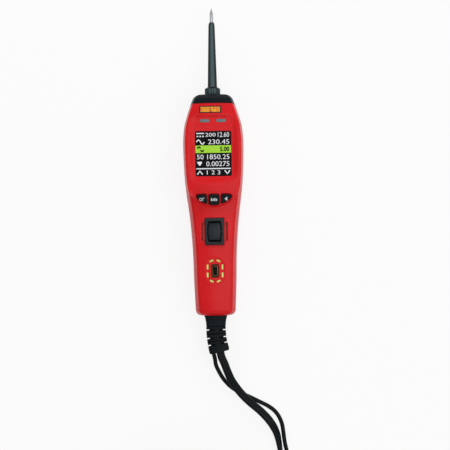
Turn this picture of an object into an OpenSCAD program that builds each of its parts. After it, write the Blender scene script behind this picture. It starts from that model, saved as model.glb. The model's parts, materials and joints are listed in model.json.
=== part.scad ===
// Hand-held automotive circuit tester, lying on its back with its probe along +Y and its screen up.
// The origin is on the flat back, at the middle of the housing's length.

/* [Housing] */
// Length of the housing with its nose, without the probe
full_l = 173; // [168:1:180]
// Widest width, beside the screen
head_w = 47.5; // [46.5:0.5:50]
// Depth from the back to the raised face at the screen
head_d = 34; // [33:0.5:36]
// Height of the seam between the shells above the back
seam_z = 13; // [12.5:0.5:14]
// Wall of the shells
wall = 2.2; // [2:0.1:2.4]
// Step of the raised face above the grip
lip_h = 1.3; // [0.9:0.1:1.6]
// Crown of the face, from its middle to its edges
crown_h = 1.2; // [0.6:0.1:1.6]
// Length of the nose cap on the face
nose_l = 7.2; // [6.4:0.2:8]
// Depth of the dish round the screen, from the highest part of the face
dish_d = 2.6; // [2:0.1:2.8]

/* [Screen and lamps] */
// Width of the screen window
window_w = 28; // [26:0.5:29]
// Length of the screen window
window_l = 35; // [32:0.5:37]
// Thickness of the screen window
window_t = 1.1; // [0.8:0.1:1.2]
// Thickness of the display panel
panel_t = 2.6; // [2:0.1:3]
// Length of each status lens
lens_l = 7.5; // [6:0.5:9]
// Width of each status lens
lens_w = 2.4; // [2:0.1:3]
// Distance between the middles of the status lenses
lens_pitch = 12.8; // [11:0.2:15]

/* [Keys] */
// Width of the middle key
key_w = 7.9; // [7:0.1:8.4]
// Width of each outer key
side_key_w = 8.2; // [7:0.1:8.6]
// Length of the keys at their longest
key_l = 8.3; // [7:0.1:9]
// Web of housing between two keys
key_web = 1.7; // [1.4:0.1:2.2]
// Height of the keys above the raised face
key_proud = 1; // [0.8:0.1:1.4]
// Travel of the keys
key_travel = 0.8; // [0.5:0.1:0.9]

/* [Rocker switch] */
// Width of the switch bezel
bezel_w = 15; // [14:0.5:16]
// Length of the switch bezel
bezel_l = 21; // [20.5:0.5:22]
// Thickness of the bezel
bezel_t = 1.8; // [1.4:0.1:2.2]
// Width of the paddle at its middle
paddle_w = 10.4; // [9.6:0.2:10.8]
// Length of the paddle
paddle_l = 15.4; // [15:0.2:15.8]
// Tilt of the paddle each way, in degrees
paddle_tilt = 9; // [7:1:9]

/* [Update port] */
// Width of the port opening
port_w = 6; // [5.6:0.2:6.4]
// Length of the port opening
port_l = 10.8; // [10.4:0.2:11.6]
// Width of the ring of slots, between slot middles
slot_ring_w = 11.6; // [11.2:0.2:12.4]
// Length of the ring of slots, between slot middles
slot_ring_l = 16.6; // [16:0.2:17.4]
// Width of a slot
slot_w = 1.4; // [1:0.1:1.6]

/* [Probe] */
// Length of the probe past the nose
probe_l = 68; // [60:1:90]
// Diameter of the bare steel shaft
shaft_d = 3; // [2.4:0.1:3.4]
// Length of the bare steel shaft before its point
shaft_l = 6.6; // [5:0.2:12]
// Length of the point
point_l = 4.4; // [3:0.2:6]
// Diameter of the sleeve at its narrow end
sleeve_d = 4.8; // [4.2:0.1:5.2]
// Diameter of the sleeve at the collar
sleeve_base_d = 7.3; // [6.6:0.1:8]
// Diameter of the collar
collar_d = 12.1; // [11:0.1:13]
// Length of the collar
collar_l = 6; // [5:0.2:8]
// Diameter of the plug inside the socket
plug_d = 4; // [3.8:0.1:4.2]
// Length of the plug
plug_l = 13; // [11:0.5:13.5]

/* [Strain relief and cords] */
// Width of the strain relief
relief_w = 15.4; // [14.5:0.1:16]
// Depth of the strain relief
relief_d = 12; // [11:0.2:13]
// Bend of the strain relief, in degrees
relief_bend = 13; // [0:1:16]
// Width of the flat twin cord
twin_w = 6.4; // [6:0.1:6.6]
// Thickness of the flat twin cord
twin_t = 3.4; // [3:0.1:3.6]
// Diameter of a split lead
lead_d = 3.2; // [2.8:0.1:3.4]
// Diameter of the thin ground lead
aux_d = 3.3; // [3:0.1:3.5]
// Middle radius of the twin cord's coil
coil_r = 57; // [55:0.1:58]
// Turns of the twin cord's coil
coil_turns = 16.25; // [12.25:1:16.25]
// Middle radius of the ground lead's coil
small_coil_r = 18.5; // [17.5:0.1:20]
// Turns of the ground lead's coil
small_coil_turns = 6; // [4:1:6]

/* [Battery clips] */
// Length of the jaws from the pin
jaw_l = 34; // [28:1:36]
// Length of the handles from the pin
handle_l = 40; // [36:1:42]
// Height of a clip across its jaws
clip_h = 14; // [12:0.5:16]
// Sheet thickness of the jaws
clip_t = 1.2; // [1:0.1:1.4]
// Diameter of the clip's pin
clip_pin_d = 3.2; // [3:0.1:3.6]
// Opening of a battery clip, in degrees
clip_open = 20; // [12:1:20]

/* [Ground clip] */
// Length of the small jaws from the pin
small_jaw_l = 20; // [17:1:22]
// Length of the small handles from the pin
small_handle_l = 24; // [22:1:26]
// Height of the small clip
small_clip_h = 8; // [7:0.5:9]
// Sheet thickness of the small jaws
small_clip_t = 0.7; // [0.6:0.1:0.8]
// Diameter of the small clip's pin
small_pin_d = 2; // [1.8:0.1:2.2]

/* [Hidden] */

$fn = 48;
// Overrun of every cut past the surface that it opens
over = 1;
// Small gap between pieces that only lie beside each other
gap = 0.3;
// Radial clearance of a running fit
run = 0.05;
// Colours
housing_red = [0.84, 0.11, 0.13];
soft_black = [0.09, 0.1, 0.1];
slate_black = [0.16, 0.19, 0.21];
board_green = [0.07, 0.32, 0.16];
bright_steel = [0.72, 0.73, 0.75];
warm_brass = [0.78, 0.62, 0.28];

// Housing outline: shares of the half width and of the face height along the length, from the tail
width_shares = [
    [0, 0.657], [0.05, 0.67], [0.16, 0.703], [0.27, 0.722], [0.39, 0.775], [0.47, 0.834],
    [0.55, 0.911], [0.62, 0.962], [0.7, 0.99], [0.78, 1], [0.85, 0.962], [0.91, 0.848],
    [0.965, 0.71], [1, 0.606]
];
face_shares = [
    [0, 0.77], [0.08, 0.8], [0.25, 0.818], [0.42, 0.838], [0.5, 0.875], [0.6, 0.955],
    [0.72, 1], [0.84, 0.985], [0.92, 0.945], [1, 0.85]
];
back_shares = [[0, 0.03], [0.06, 0], [0.8, 0], [0.9, 0.03], [1, 0.12]];
// Rounding of the housing's tail and nose
tail_r = 4.6;
nose_r = 3.5;
// Lean of the side wall from the seam to the face, and the share of it that the bulge keeps
side_in = 2.2;
bulge_share = 0.28;
// Rounding between the side wall and the face, and between the side wall and the back
corner_r = 3.4;
back_r = 9;
// Raised face: inset of its edge, rounding of its edge, and its depth into the shell
raised_in = 1.7;
raised_r = 1;
raised_sink = 4;
// Lip of the raised face under the keys: place of its centre along the housing
lip_share = 0.612;
// Steps of the loft
loft_steps = 20;
corner_step = 22.5;
crown_shares = [0.7, 0.36];
back_step = 15;
least_station = 0.3;

tail_y = -full_l / 2;
nose_y = full_l / 2;

function along(s) = tail_y + s * full_l;
function share_at(y) = (y - tail_y) / full_l;

// Monotone cubic through a table of shares
function secant(t, i) = (t[i + 1][1] - t[i][1]) / (t[i + 1][0] - t[i][0]);
function slope(t, i) =
    i == 0 ? secant(t, 0) :
    i == len(t) - 1 ? secant(t, i - 1) :
    secant(t, i - 1) * secant(t, i) <= 0 ? 0 :
    2 * secant(t, i - 1) * secant(t, i) / (secant(t, i - 1) + secant(t, i));
function piece_of(t, s, i = 0) = i >= len(t) - 2 || s < t[i + 1][0] ? i : piece_of(t, s, i + 1);
function smooth(t, s) =
    let (
        i = piece_of(t, s),
        h = t[i + 1][0] - t[i][0],
        u = (s - t[i][0]) / h,
        a = t[i][1],
        b = t[i + 1][1]
    )
    a + (b - a) * u * u * (3 - 2 * u)
    + h * slope(t, i) * u * (1 - u) * (1 - u)
    - h * slope(t, i + 1) * u * u * (1 - u);

function round_in(d, r) = d >= r ? 0 : r - sqrt(r * r - (r - d) * (r - d));
function end_in(s) = max(round_in(s * full_l, tail_r), round_in((1 - s) * full_l, nose_r));
function half_w(s) = head_w / 2 * smooth(width_shares, s) - end_in(s);
function face_z(s) = (head_d - lip_h) * smooth(face_shares, s) - end_in(s);
function back_z(s) = head_d * smooth(back_shares, s) + end_in(s);

function mirror_x(points) = [for (i = [len(points) - 1:-1:0]) [-points[i][0], points[i][1]]];

// Front part of a section, from the right edge at height low over the face to the left edge
function face_arc(w, z, lean, r, low) =
    let (
        cx = w - lean - r,
        cz = z - crown_h - r,
        right = concat(
            [[w, low], [w - lean * bulge_share, (low + cz) / 2]],
            [for (a = [0:corner_step:90]) [cx + r * cos(a), cz + r * sin(a)]],
            [for (k = crown_shares) [cx * k, z - crown_h * k * k]]
        )
    )
    concat(right, [[0, z]], mirror_x(right));

// Back part of a section, from the left edge at height top under the back to the right edge
function back_arc(w, z, r, top) =
    let (right = [for (a = [90:-back_step:0]) [w - r + r * cos(a), top - (top - z) * sin(a)]])
    concat(mirror_x(right), right);

function stations(from, to) = concat(
    [from],
    [
        for (s = concat(
            [for (a = [30:30:90]) tail_r * (1 - cos(a)) / full_l],
            [for (i = [1:loft_steps]) let (a = tail_r / full_l, b = 1 - nose_r / full_l)
                a + (b - a) * i / (loft_steps + 1)],
            [for (a = [90:-30:30]) 1 - nose_r * (1 - cos(a)) / full_l]
        ))
        if (s > from + least_station / full_l && s < to - least_station / full_l) s
    ],
    [to]
);

// Band j of a ring's end cap, between the points at both sides of the ring
function cap_band(j, n, first) =
    [for (k = j + 1 == n - 2 - j ? [j, j + 1, n - 1 - j] : [j, j + 1, n - 2 - j, n - 1 - j]) first + k];
function backwards(list) = [for (i = [len(list) - 1:-1:0]) list[i]];

// Solid through rings of points that all have the same number of points
module loft(rings) {
    n = len(rings[0]);
    m = len(rings);
    polyhedron(
        points = [for (ring = rings) each ring],
        faces = concat(
            [
                for (i = [0:m - 2], j = [0:n - 1]) let (k = (j + 1) % n)
                each [
                    [i * n + j, (i + 1) * n + j, (i + 1) * n + k],
                    [i * n + j, (i + 1) * n + k, i * n + k]
                ]
            ],
            [for (j = [0:floor((n - 3) / 2)]) cap_band(j, n, 0)],
            [for (j = [0:floor((n - 3) / 2)]) backwards(cap_band(j, n, (m - 1) * n))]
        )
    );
}

function ring_at(s, points) = [for (i = [len(points) - 1:-1:0]) [points[i][0], along(s), points[i][1]]];

module face_body(inset, low, from, to) loft([
    for (s = stations(from, to))
    ring_at(s, face_arc(half_w(s) - inset, face_z(s) - inset, side_in, max(corner_r - inset, gap), low))
]);

module back_body(inset, top, from, to) loft([
    for (s = stations(from, to))
    ring_at(s, back_arc(half_w(s) - inset, back_z(s) + inset, back_r - inset, top))
]);

lip_y = along(lip_share);
lip_r = half_w(lip_share) - raised_in;

// Raised face: a cap on the face body, ended by the round lip under the keys
module raised_face() intersection() {
    loft([
        for (s = stations(lip_share - (lip_r + over) / full_l, 1 - gap / full_l))
        ring_at(s, face_arc(
            half_w(s) - raised_in, face_z(s) + lip_h, gap, raised_r,
            face_z(s) - crown_h - raised_sink
        ))
    ]);
    linear_extrude(head_d + over) union() {
        translate([0, lip_y]) circle(lip_r);
        translate([-head_w / 2, lip_y]) square([head_w, full_l]);
    }
}

// Space of the nose cap, with a seam that leans back towards the tail
nose_lean = 10;
nose_back = 0.05;
nose_seam_y = nose_y - nose_l;
nose_seam_z = face_z(share_at(nose_seam_y)) + lip_h;
module nose_space(lift = 0) translate([0, nose_seam_y + lift, nose_seam_z])
    rotate([-nose_lean, 0, 0])
    translate([-head_w, 0, -head_d * 2])
    cube([head_w * 2, full_l, head_d * 3]);

// Screen
window_y = along(0.73121);
window_r = 1.2;
window_rim = 1;
dish_floor = head_d - dish_d;
dish_w = 39.6;
dish_l = 54.6;
dish_y = along(0.74971);
dish_r = 7;
floor_w = 30.4;
floor_l = 46;
floor_y = along(0.76012);
floor_r = 3;
lamp_y = along(0.87919);
// Shallow groove round both status lenses
lens_bed_l = 29;
lens_bed_w = 6.4;
lens_bed_d = 0.25;
window_z = dish_floor - window_t;
pad_t = 1.2;
pad_z = window_z - pad_t;
pad_edge = 2.4;

module plate(w, l, r) {
    square([w - r * 2, l], center = true);
    square([w, l - r * 2], center = true);
    for (x = [-1, 1], y = [-1, 1]) translate([x * (w / 2 - r), y * (l / 2 - r)]) circle(r);
}

module pill(l, w) {
    square([l - w, w], center = true);
    for (x = [-1, 1]) translate([x * (l - w) / 2, 0]) circle(w / 2);
}

// Points round a plate at height z, for a loft
function plate_ring(w, l, r, at_y, z) = [
    for (q = [0:3], a = [0:back_step:90]) let (
        x = q == 0 || q == 3 ? 1 : -1,
        y = q < 2 ? 1 : -1
    )
    [x * (w / 2 - r) + r * cos(q * 90 + a), at_y + y * (l / 2 - r) + r * sin(q * 90 + a), z]
];

// Keys
// Distance of the keys' top from the lip's centre
key_drop = 10.976;
key_top_y = lip_y - key_drop;
key_r = 0.9;
side_key_r = 2.6;
key_arc_gap = 1.9;
key_play = 0.25;
key_flange = 1;
key_flange_t = 1;
key_rest_gap = 0.15;
key_low_share = share_at(key_top_y - key_l);
key_top_z = face_z(share_at(key_top_y)) + lip_h + key_proud;
key_flange_z = face_z(key_low_share) - wall - crown_h - key_flange_t;
key_mid_y = key_top_y - key_l / 2;
key_step = key_w / 2 + key_web + side_key_w / 2;

// Outline of key i, from -1 at the left to 1 at the right, grown by a margin
module key_outline(i, grow) offset(r = key_r + grow) offset(delta = -key_r) intersection() {
    translate([0, lip_y]) circle(lip_r - key_arc_gap);
    if (i == 0)
        translate([-key_w / 2, key_top_y - key_l]) square([key_w, key_l]);
    else
        translate([i * key_step, key_mid_y]) {
            translate([-i * side_key_r / 2, 0]) square([side_key_w - side_key_r, key_l], center = true);
            square([side_key_w, key_l - side_key_r * 2], center = true);
            for (y = [-1, 1])
                translate([i * (side_key_w / 2 - side_key_r), y * (key_l / 2 - side_key_r)])
                circle(side_key_r);
        }
}

// Circuit board, below the switches under the keys
tact_h = 1.8;
tact_w = 6;
plunger_d = 3;
plunger_sink = 0.6;
board_t = 1.6;
board_z = key_flange_z - key_travel - key_rest_gap - tact_h;
board_gap = 1.2;
board_shares = [0.1185, 0.19942, 0.32659, 0.45376, 0.54624, 0.63873, 0.73121, 0.81214, 0.89538];
board_ys = [for (s = board_shares) along(s)];

// Rocker switch
rocker_y = along(0.38092);
rocker_share = share_at(rocker_y - bezel_l / 2);
seat_z = face_z(rocker_share) - gap * 2;
case_w = 13;
case_l = 18.8;
case_depth = 12.6;
case_wall = 1;
pivot_drop = 1.5;
trunnion_d = 2.4;
paddle_end_w = 8.8;
paddle_gap = 0.5;
paddle_rise = 3;
paddle_dip = 1.5;
paddle_draft = 1.1;
pocket_w = 20.3;
pocket_l = 14.6;
pocket_d = 1.1;
pivot_z = seat_z - pivot_drop;
case_floor_z = seat_z - case_depth;

// Update port and its ring of slots
port_y = along(0.20289);
port_r = 1.9;
port_face_z = face_z(share_at(port_y));
port_step_w = 15.4;
port_step_l = 20.8;
port_step_d = 0.35;
shell_w = 4.2;
shell_l = 8;
shell_t = 0.35;
shell_deep = 8.4;
shell_sink = 0.9;
tongue_w = 1.1;
slot_l = 4;
light_t = 1.6;
light_low = 0.4;
slot_turn = 36;

// Probe
probe_z = 15.5;
collar_gap = 0.2;
nose_face_y = nose_y;
sleeve_end_y = nose_y + probe_l - point_l - shaft_l;
// Thin core of the shaft inside the sleeve, and the radius at the end of the point
core_share = 0.6;
core_d = shaft_d * core_share;
tip_end = 0.09;
collar_chamfer = 1.2;
socket_d = 8.4;
socket_wall_gap = 0.1;
socket_l = 16;
lamp_d = 3;
lamp_x = 5.9;
lamp_dz = 5;
lamp_l = 9;
lamp_flange = 0.4;
fluting = 12;
flute_d = 1.1;

// Screws and posts: places of the four, from [x, share of the length]
screw_places = [for (p = [[15.2, 0.86647], [9, 0.0815]], x = [1, -1]) [x * p[0], along(p[1])]];
post_places = [for (p = [[12, 0.70809], [8, 0.24566]], x = [1, -1]) [x * p[0], along(p[1])]];
post_d = 4;
boss_d = 6.4;
boss_low_d = 7.6;
screw_d = 2.6;
screw_hole_d = 3;
screw_head_d = 5;
screw_head_t = 1.8;
screw_head_z = 3;
screw_well_d = 5.6;
pilot_deep = 8;
screw_grip = 6;

// Strain relief: straight lengths and slots
relief_r = 4.4;
flare_w = 3.2;
flare_l = 4.4;
root_l = 8;
rib_l = [5.4, 5.2, 6.2];
relief_slot = 1;
relief_spine = 4.4;
relief_flange = 2;
relief_flange_t = 2.2;
relief_neck = 1;
relief_z = seam_z;

// Tubes swept along a route of points

function unit(v) = v / norm(v);
function heading(route, i) = unit(route[min(i + 1, len(route) - 1)] - route[max(i - 1, 0)]);

// Corner cuts of a tube's section, as shares of half its thickness: eight sides, six flat, six round
edge_cut = 0.586;
flat_cut = 0.84;
round_cut = 0.5;

// Ring of a tube of size [w, t] across point i, rolled by an angle about its route
function section_edge(size, sides) =
    let (
        w = size[0] / 2,
        t = size[1] / 2,
        cut = t * (sides == 8 ? edge_cut : w > t ? flat_cut : round_cut)
    )
    sides == 8
        ? [
            [w, cut - t], [w - cut, -t], [cut - w, -t], [-w, cut - t],
            [-w, t - cut], [cut - w, t], [w - cut, t], [w, t - cut]
        ]
        : [[w, 0], [w - cut, -t], [cut - w, -t], [-w, 0], [cut - w, t], [w - cut, t]];
function tube_ring(route, i, size, sides, roll) =
    let (
        go = heading(route, i),
        right = unit(cross(go, [0, 0, 1])),
        up = cross(right, go),
        a = right * cos(roll) + up * sin(roll),
        b = up * cos(roll) - right * sin(roll)
    )
    [for (p = section_edge(size, sides)) route[i] + a * p[0] + b * p[1]];

module tube(route, size, sides, rolls) loft([
    for (i = [0:len(route) - 1])
    tube_ring(route, i, size, sides, is_list(rolls) ? rolls[i] : rolls)
]);

// Spiral of a piled coil that starts outside, goes in and out again layer by layer and climbs a
// layer in each half turn where it turns back. spin is 1 anticlockwise and -1 clockwise.
function fold(x, n) = let (k = floor(x / n), r = x - k * n) k % 2 == 0 ? r : n - r;
function climb(x, n, layers) =
    let (k = min(max(round(x / n), 1), layers - 1), d = (x - k * n) * 2)
    floor(x / n) < 0 ? 0 : abs(d) < 0.5 ? k - 0.5 + d : x < k * n ? k - 1 : k;
function coil_point(at, r_out, pitch, rise, turns, layers, spin, start, x) =
    let (
        n = turns / layers,
        r = r_out - pitch * fold(x, n),
        a = start + spin * 360 * x
    )
    at + [r * cos(a), r * sin(a), rise * climb(x, n, layers)];
function coil_route(at, r_out, pitch, rise, turns, layers, spin, start, rings) = [
    for (i = [0:turns * rings])
    coil_point(at, r_out, pitch, rise, turns, layers, spin, start, i / rings)
];

// Least gap of a coil to itself, between the sections that lie in one plane through its axis
function to_edge(p, a, b) =
    let (ab = b - a, u = min(max((p - a) * ab / (ab * ab), 0), 1))
    norm(p - a - ab * u);
function ring_gap(f, g) = min([
    for (p = f, j = [0:len(g) - 1]) to_edge(p, g[j], g[(j + 1) % len(g)])
]);
function least_gap(route, size, roll) = min([
    for (i = [0:loop_rings - 1])
    let (rings = [for (k = [i:loop_rings:len(route) - 1]) tube_ring(route, k, size, loop_sides, roll)])
    for (a = [0:len(rings) - 2], b = [a + 1:len(rings) - 1])
    if (norm(rings[a][0] - rings[b][0]) < size[0] * 2)
    min(ring_gap(rings[a], rings[b]), ring_gap(rings[b], rings[a]))
]);

// Routes of the cords, laid on the surface; the first points leave the strain relief squarely
loop_rings = 24;
loop_sides = 6;
coil_layers = 4;
small_layers = 2;
turn_gap = 0.5;
twin_gap = 0.7;
tie_t = 0.8;
coil_lift = tie_t + gap;
coil_at = [-13.5, -272];
coil_start = 0;
small_coil_at = [92, -262];
small_start = -90;
tie_w = 14;
tie_play = 1;
small_tie_w = 5;
coil_pitch = twin_t + twin_gap;
coil_rise = twin_w + turn_gap;
coil_out = coil_r + coil_pitch * coil_turns / coil_layers / 2;
coil_low = coil_lift + twin_w / 2;
coil_high = coil_low + coil_rise * (coil_layers - 1);
small_pitch = aux_d + turn_gap;
small_out = small_coil_r + small_pitch * small_coil_turns / small_layers / 2;
small_low = coil_lift + aux_d / 2;
small_high = small_low + small_pitch * (small_layers - 1);

function turned(a, v) = [v[0] * cos(a) - v[1] * sin(a), v[0] * sin(a) + v[1] * cos(a)];
rib_bend = relief_bend / len(rib_l);
function rib_start(k) = k == 0
    ? [0, tail_y - flare_l - root_l]
    : rib_start(k - 1) + rib_l[k - 1] * turned(rib_bend * k, [0, -1]);
relief_end = rib_start(len(rib_l));
relief_out = turned(relief_bend, [0, -1]);
relief_side = turned(relief_bend, [1, 0]);
main_exit = [0.5, 0.8];
aux_exit = [-4.9, -1.2];
first_step = 4;
main_start = relief_end + relief_side * main_exit[0];
aux_start = relief_end + relief_side * aux_exit[0];
coil_entry = [coil_at[0] + coil_out, coil_at[1]];
coil_exit = [coil_at[0], coil_at[1] - coil_out];
small_entry = [small_coil_at[0], small_coil_at[1] - small_out];

main_route = concat(
    [for (k = [0, 1]) concat(main_start + relief_out * first_step * k, relief_z + main_exit[1])],
    [
        [6, -124, 13.4], [8.4, -130.6, 12.4], [11.2, -137.2, 11], [15.2, -143.6, 9.4],
        [20.2, -150, 7.8], [26.6, -156.4, 6.2], [33.6, -162.6, 4.6], [39.6, -169, 3.2],
        [44.2, -175.6, 2.6], [47, -182, 2.8], [48.2, -187.6, 3.2], [49.6, -197, 3.3],
        [50.8, -206, 3.2], [51.6, -216, 3.2], [51.8, -228, 3.2], [51.8, -240, 3.2],
        [51.8, -252, 3.5], [51.8, -261, 4]
    ],
    [concat(coil_entry + [0, first_step], coil_low), concat(coil_entry, coil_low)]
);
main_rolls = [0, 0, 0, 0, 0, 0, 0, 0, 0, 10, 25, 45, 62, 80, 90, 90, 90, 90, 90, 90, 90, 90];

// Split sleeve, where the twin cord becomes two leads
sleeve_at = [-84, -341.4];
split_l = 18;
split_w = 11;
split_h = 8.4;
lead_dy = 2.3;
lead_z = split_h / 2;

tail_route = concat(
    [concat(coil_exit, coil_high), concat(coil_exit - [first_step, 0], coil_high)],
    [
        [-27.5, -337.5, 25], [-37, -337.9, 24.2], [-45, -338.6, 21.2], [-53, -339.6, 16.4],
        [-61, -340.6, 11], [-68.6, -341.2, 6.8], [-75, -341.4, 4.8]
    ],
    [concat(sleeve_at + [first_step, 0], lead_z), concat(sleeve_at, lead_z)]
);
tail_rolls = [90, 90, 90, 85, 70, 50, 30, 12, 0, 0, 0];

// Clips: places of their pins, with the jaws along +Y
red_clip_at = [-162, -276];
black_clip_at = [-124, -276];
aux_clip_at = [132, -232];
clip_waist = 7;
clip_spread = 13;
clip_gap = 0.3;
clip_run = 0.3;
clip_teeth = 6;
clip_tooth = 1.6;
grip_t = 1.2;
grip_share = 0.54;
clip_head = 0.8;
small_waist = 4;
small_spread = 7.5;
small_tooth = 1;
small_grip_t = 0.9;
small_head = 0.6;
crimp_share = 0.9;
crimp_l = 12;
small_crimp_l = 7;
spring_wire = 1.1;
small_spring_wire = 0.7;
spring_turns = 3;
small_spring_turns = 3;
clip_mid_z = grip_t + clip_h / 2;
small_mid_z = small_grip_t + small_clip_h / 2;
crimp_d = lead_d + clip_t;
crimp_y = clip_spread - clip_t - crimp_d / 2 + clip_gap;
small_crimp_d = aux_d + small_clip_t;
small_crimp_y = small_spread - small_clip_t - small_crimp_d / 2 + clip_gap;

black_route = concat(
    [for (k = [0, 1]) [sleeve_at[0] - split_l - first_step * k, sleeve_at[1] + lead_dy, lead_z]],
    [[-109.8, -338, 3], [-112.6, -334.6, 2.2], [-113.8, -329.6, 2.8], [-114.1, -323.6, 5.6]],
    [for (k = [1, 0]) [
        black_clip_at[0] + crimp_y, black_clip_at[1] - handle_l * crimp_share - first_step * k, clip_mid_z
    ]]
);
red_route = concat(
    [for (k = [0, 1]) [sleeve_at[0] - split_l - first_step * k, sleeve_at[1] - lead_dy, lead_z]],
    [
        [-113, -344.4, 2.8], [-122, -344.4, 2], [-131, -343, 2], [-139.4, -339, 2],
        [-146, -333.4, 2.2], [-150.4, -327, 3.4], [-151.9, -321.4, 6]
    ],
    [for (k = [1, 0]) [
        red_clip_at[0] + crimp_y, red_clip_at[1] - handle_l * crimp_share - first_step * k, clip_mid_z
    ]]
);
aux_route = concat(
    [for (k = [0, 1]) concat(aux_start + relief_out * first_step * k, relief_z + aux_exit[1])],
    [
        [-0.6, -125.4, 9.6], [2, -131.6, 7], [5.8, -138, 4.2], [11.4, -144, 2.4], [18.6, -148.6, 1.8],
        [26.6, -152.4, 1.7], [33.7, -156, 1.7], [39.9, -159.2, 1.7], [44.6, -162.6, 1.7],
        [48.4, -167.4, 1.7], [50.9, -173.4, 1.7], [52, -180, 1.7], [52.8, -187, 1.7],
        [55, -197, 1.7], [58.4, -208, 1.7], [61.4, -221, 1.7], [62.6, -236, 1.7],
        [62.4, -252, 1.7], [63.6, -266, 1.7], [67.6, -277, 2.2], [75, -284.2, 2.6]
    ],
    [concat(small_entry - [first_step, 0], small_low), concat(small_entry, small_low)]
);
aux_tail_route = concat(
    [concat(small_entry, small_high), concat(small_entry + [first_step, 0], small_high)],
    [
        [102.6, -285.6, 5.6], [110.4, -283.4, 4.2], [118, -279.4, 2.6], [125.4, -273.4, 1.8],
        [131.6, -266.6, 2], [135.8, -260.6, 3.4]
    ],
    [for (k = [1, 0]) [
        aux_clip_at[0] + small_crimp_y, aux_clip_at[1] - small_handle_l * crimp_share - first_step * k,
        small_mid_z
    ]]
);

// Outlines shared by the front shell and the pieces that pass through it

module slot_ring(grow) for (x = [-1, 1], y = [-1, 1]) {
    translate([x * slot_ring_w / 2, port_y + y * (slot_ring_l / 4 - slot_w / 2)])
        square([slot_w + grow * 2, slot_l + grow * 2], center = true);
    translate([0, port_y + y * (slot_ring_l - slot_ring_w) / 2]) intersection() {
        difference() {
            circle(slot_ring_w / 2 + slot_w / 2 + grow);
            circle(slot_ring_w / 2 - slot_w / 2 - grow);
        }
        rotate(y > 0 ? 90 - x * slot_turn : 270 + x * slot_turn) polygon([
            [0, 0],
            [slot_ring_w, -slot_ring_w * tan(slot_turn / 2)],
            [slot_ring_w, slot_ring_w * tan(slot_turn / 2)]
        ]);
    }
}

module paddle_outline(grow) intersection() {
    square([paddle_w + grow * 2, paddle_l + grow * 2], center = true);
    translate([paddle_side_r - paddle_w / 2, 0]) circle(paddle_side_r + grow);
    translate([paddle_w / 2 - paddle_side_r, 0]) circle(paddle_side_r + grow);
}
// Radius of the paddle's barrel sides, through its middle and end widths
paddle_bow = (paddle_w - paddle_end_w) / 2;
paddle_side_r = (paddle_l * paddle_l / 4 + paddle_bow * paddle_bow) / (2 * paddle_bow);

// Sub-parts

module front_shell() color(housing_red) difference() {
    union() {
        difference() {
            union() {
                face_body(0, seam_z, 0, 1);
                raised_face();
            }
            face_body(wall, seam_z - over, wall / full_l, 1 - wall / full_l);
        }
        for (p = screw_places) translate([p[0], p[1], seam_z])
            cylinder(d = boss_d, h = face_z(share_at(p[1])) - crown_h - wall / 2 - seam_z);
        translate([0, window_y, pad_z]) linear_extrude(face_z(share_at(window_y)) - wall / 2 - pad_z)
            square([window_w + pad_edge * 2, window_l + pad_edge * 2], center = true);
        translate([0, key_mid_y, key_flange_z + key_flange_t])
            linear_extrude(face_z(key_low_share) - wall / 2 - key_flange_z - key_flange_t)
            square([key_step * 2 + side_key_w + key_web * 2, key_l + key_web * 2], center = true);
    }
    nose_space();
    loft([
        plate_ring(floor_w, floor_l, floor_r, floor_y, dish_floor),
        plate_ring(dish_w, dish_l, dish_r, dish_y, head_d),
        plate_ring(dish_w, dish_l, dish_r, dish_y, head_d + over)
    ]);
    translate([0, window_y, window_z]) linear_extrude(head_d)
        plate(window_w + gap, window_l + gap, window_r);
    translate([0, window_y, seam_z]) linear_extrude(head_d)
        plate(window_w - window_rim * 2, window_l - window_rim * 2, window_r);
    for (x = [-1, 1]) translate([x * lens_pitch / 2, lamp_y, seam_z]) linear_extrude(head_d)
        pill(lens_l + gap, lens_w + gap);
    translate([0, lamp_y, dish_floor - lens_bed_d]) linear_extrude(head_d) pill(lens_bed_l, lens_bed_w);
    for (i = [-1:1]) translate([0, 0, seam_z]) linear_extrude(head_d) key_outline(i, key_play);
    translate([0, rocker_y, seat_z]) linear_extrude(head_d)
        square([bezel_w + gap, bezel_l + gap], center = true);
    translate([0, rocker_y, seat_z - pocket_d]) linear_extrude(head_d)
        square([pocket_w, pocket_l], center = true);
    translate([0, rocker_y, seam_z]) linear_extrude(head_d)
        square([case_w + gap, case_l + gap], center = true);
    translate([0, port_y, port_face_z - port_step_d]) linear_extrude(head_d) difference() {
        plate(port_step_w, port_step_l, port_step_w / 2 - gap);
        plate(port_step_w - gap * 4, port_step_l - gap * 4, port_step_w / 2 - gap * 3);
    }
    translate([0, port_y, seam_z]) linear_extrude(head_d) plate(port_w, port_l, port_r);
    translate([0, 0, seam_z]) linear_extrude(head_d) slot_ring(0);
    for (p = screw_places) translate([p[0], p[1], seam_z - over])
        cylinder(d = screw_d + run * 2, h = pilot_deep + over);
    relief_hole();
}

module rear_shell() color(housing_red) difference() {
    union() {
        difference() {
            back_body(0, seam_z, 0, 1);
            back_body(wall, seam_z + over, wall / full_l, 1 - wall / full_l);
        }
        for (p = screw_places) translate([p[0], p[1], back_z(share_at(p[1])) + wall / 2])
            cylinder(d = boss_low_d, h = seam_z - back_z(share_at(p[1])) - wall / 2);
        for (p = post_places) translate([p[0], p[1], wall / 2])
            cylinder(d = post_d, h = board_z - board_t - wall / 2);
    }
    nose_space();
    for (p = screw_places) {
        translate([p[0], p[1], -over]) cylinder(d = screw_hole_d, h = seam_z + over * 2);
        translate([p[0], p[1], -over]) cylinder(d = screw_well_d, h = screw_head_z + screw_head_t + over);
    }
    relief_hole();
}

// Hole of the strain relief's neck through the tail wall of both shells
module relief_hole() translate([0, tail_y - over, relief_z]) rotate([-90, 0, 0])
    linear_extrude(wall * 3)
    plate(relief_w - relief_neck * 2 + gap, relief_d - relief_neck * 2 + gap, relief_r - relief_neck);

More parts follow.
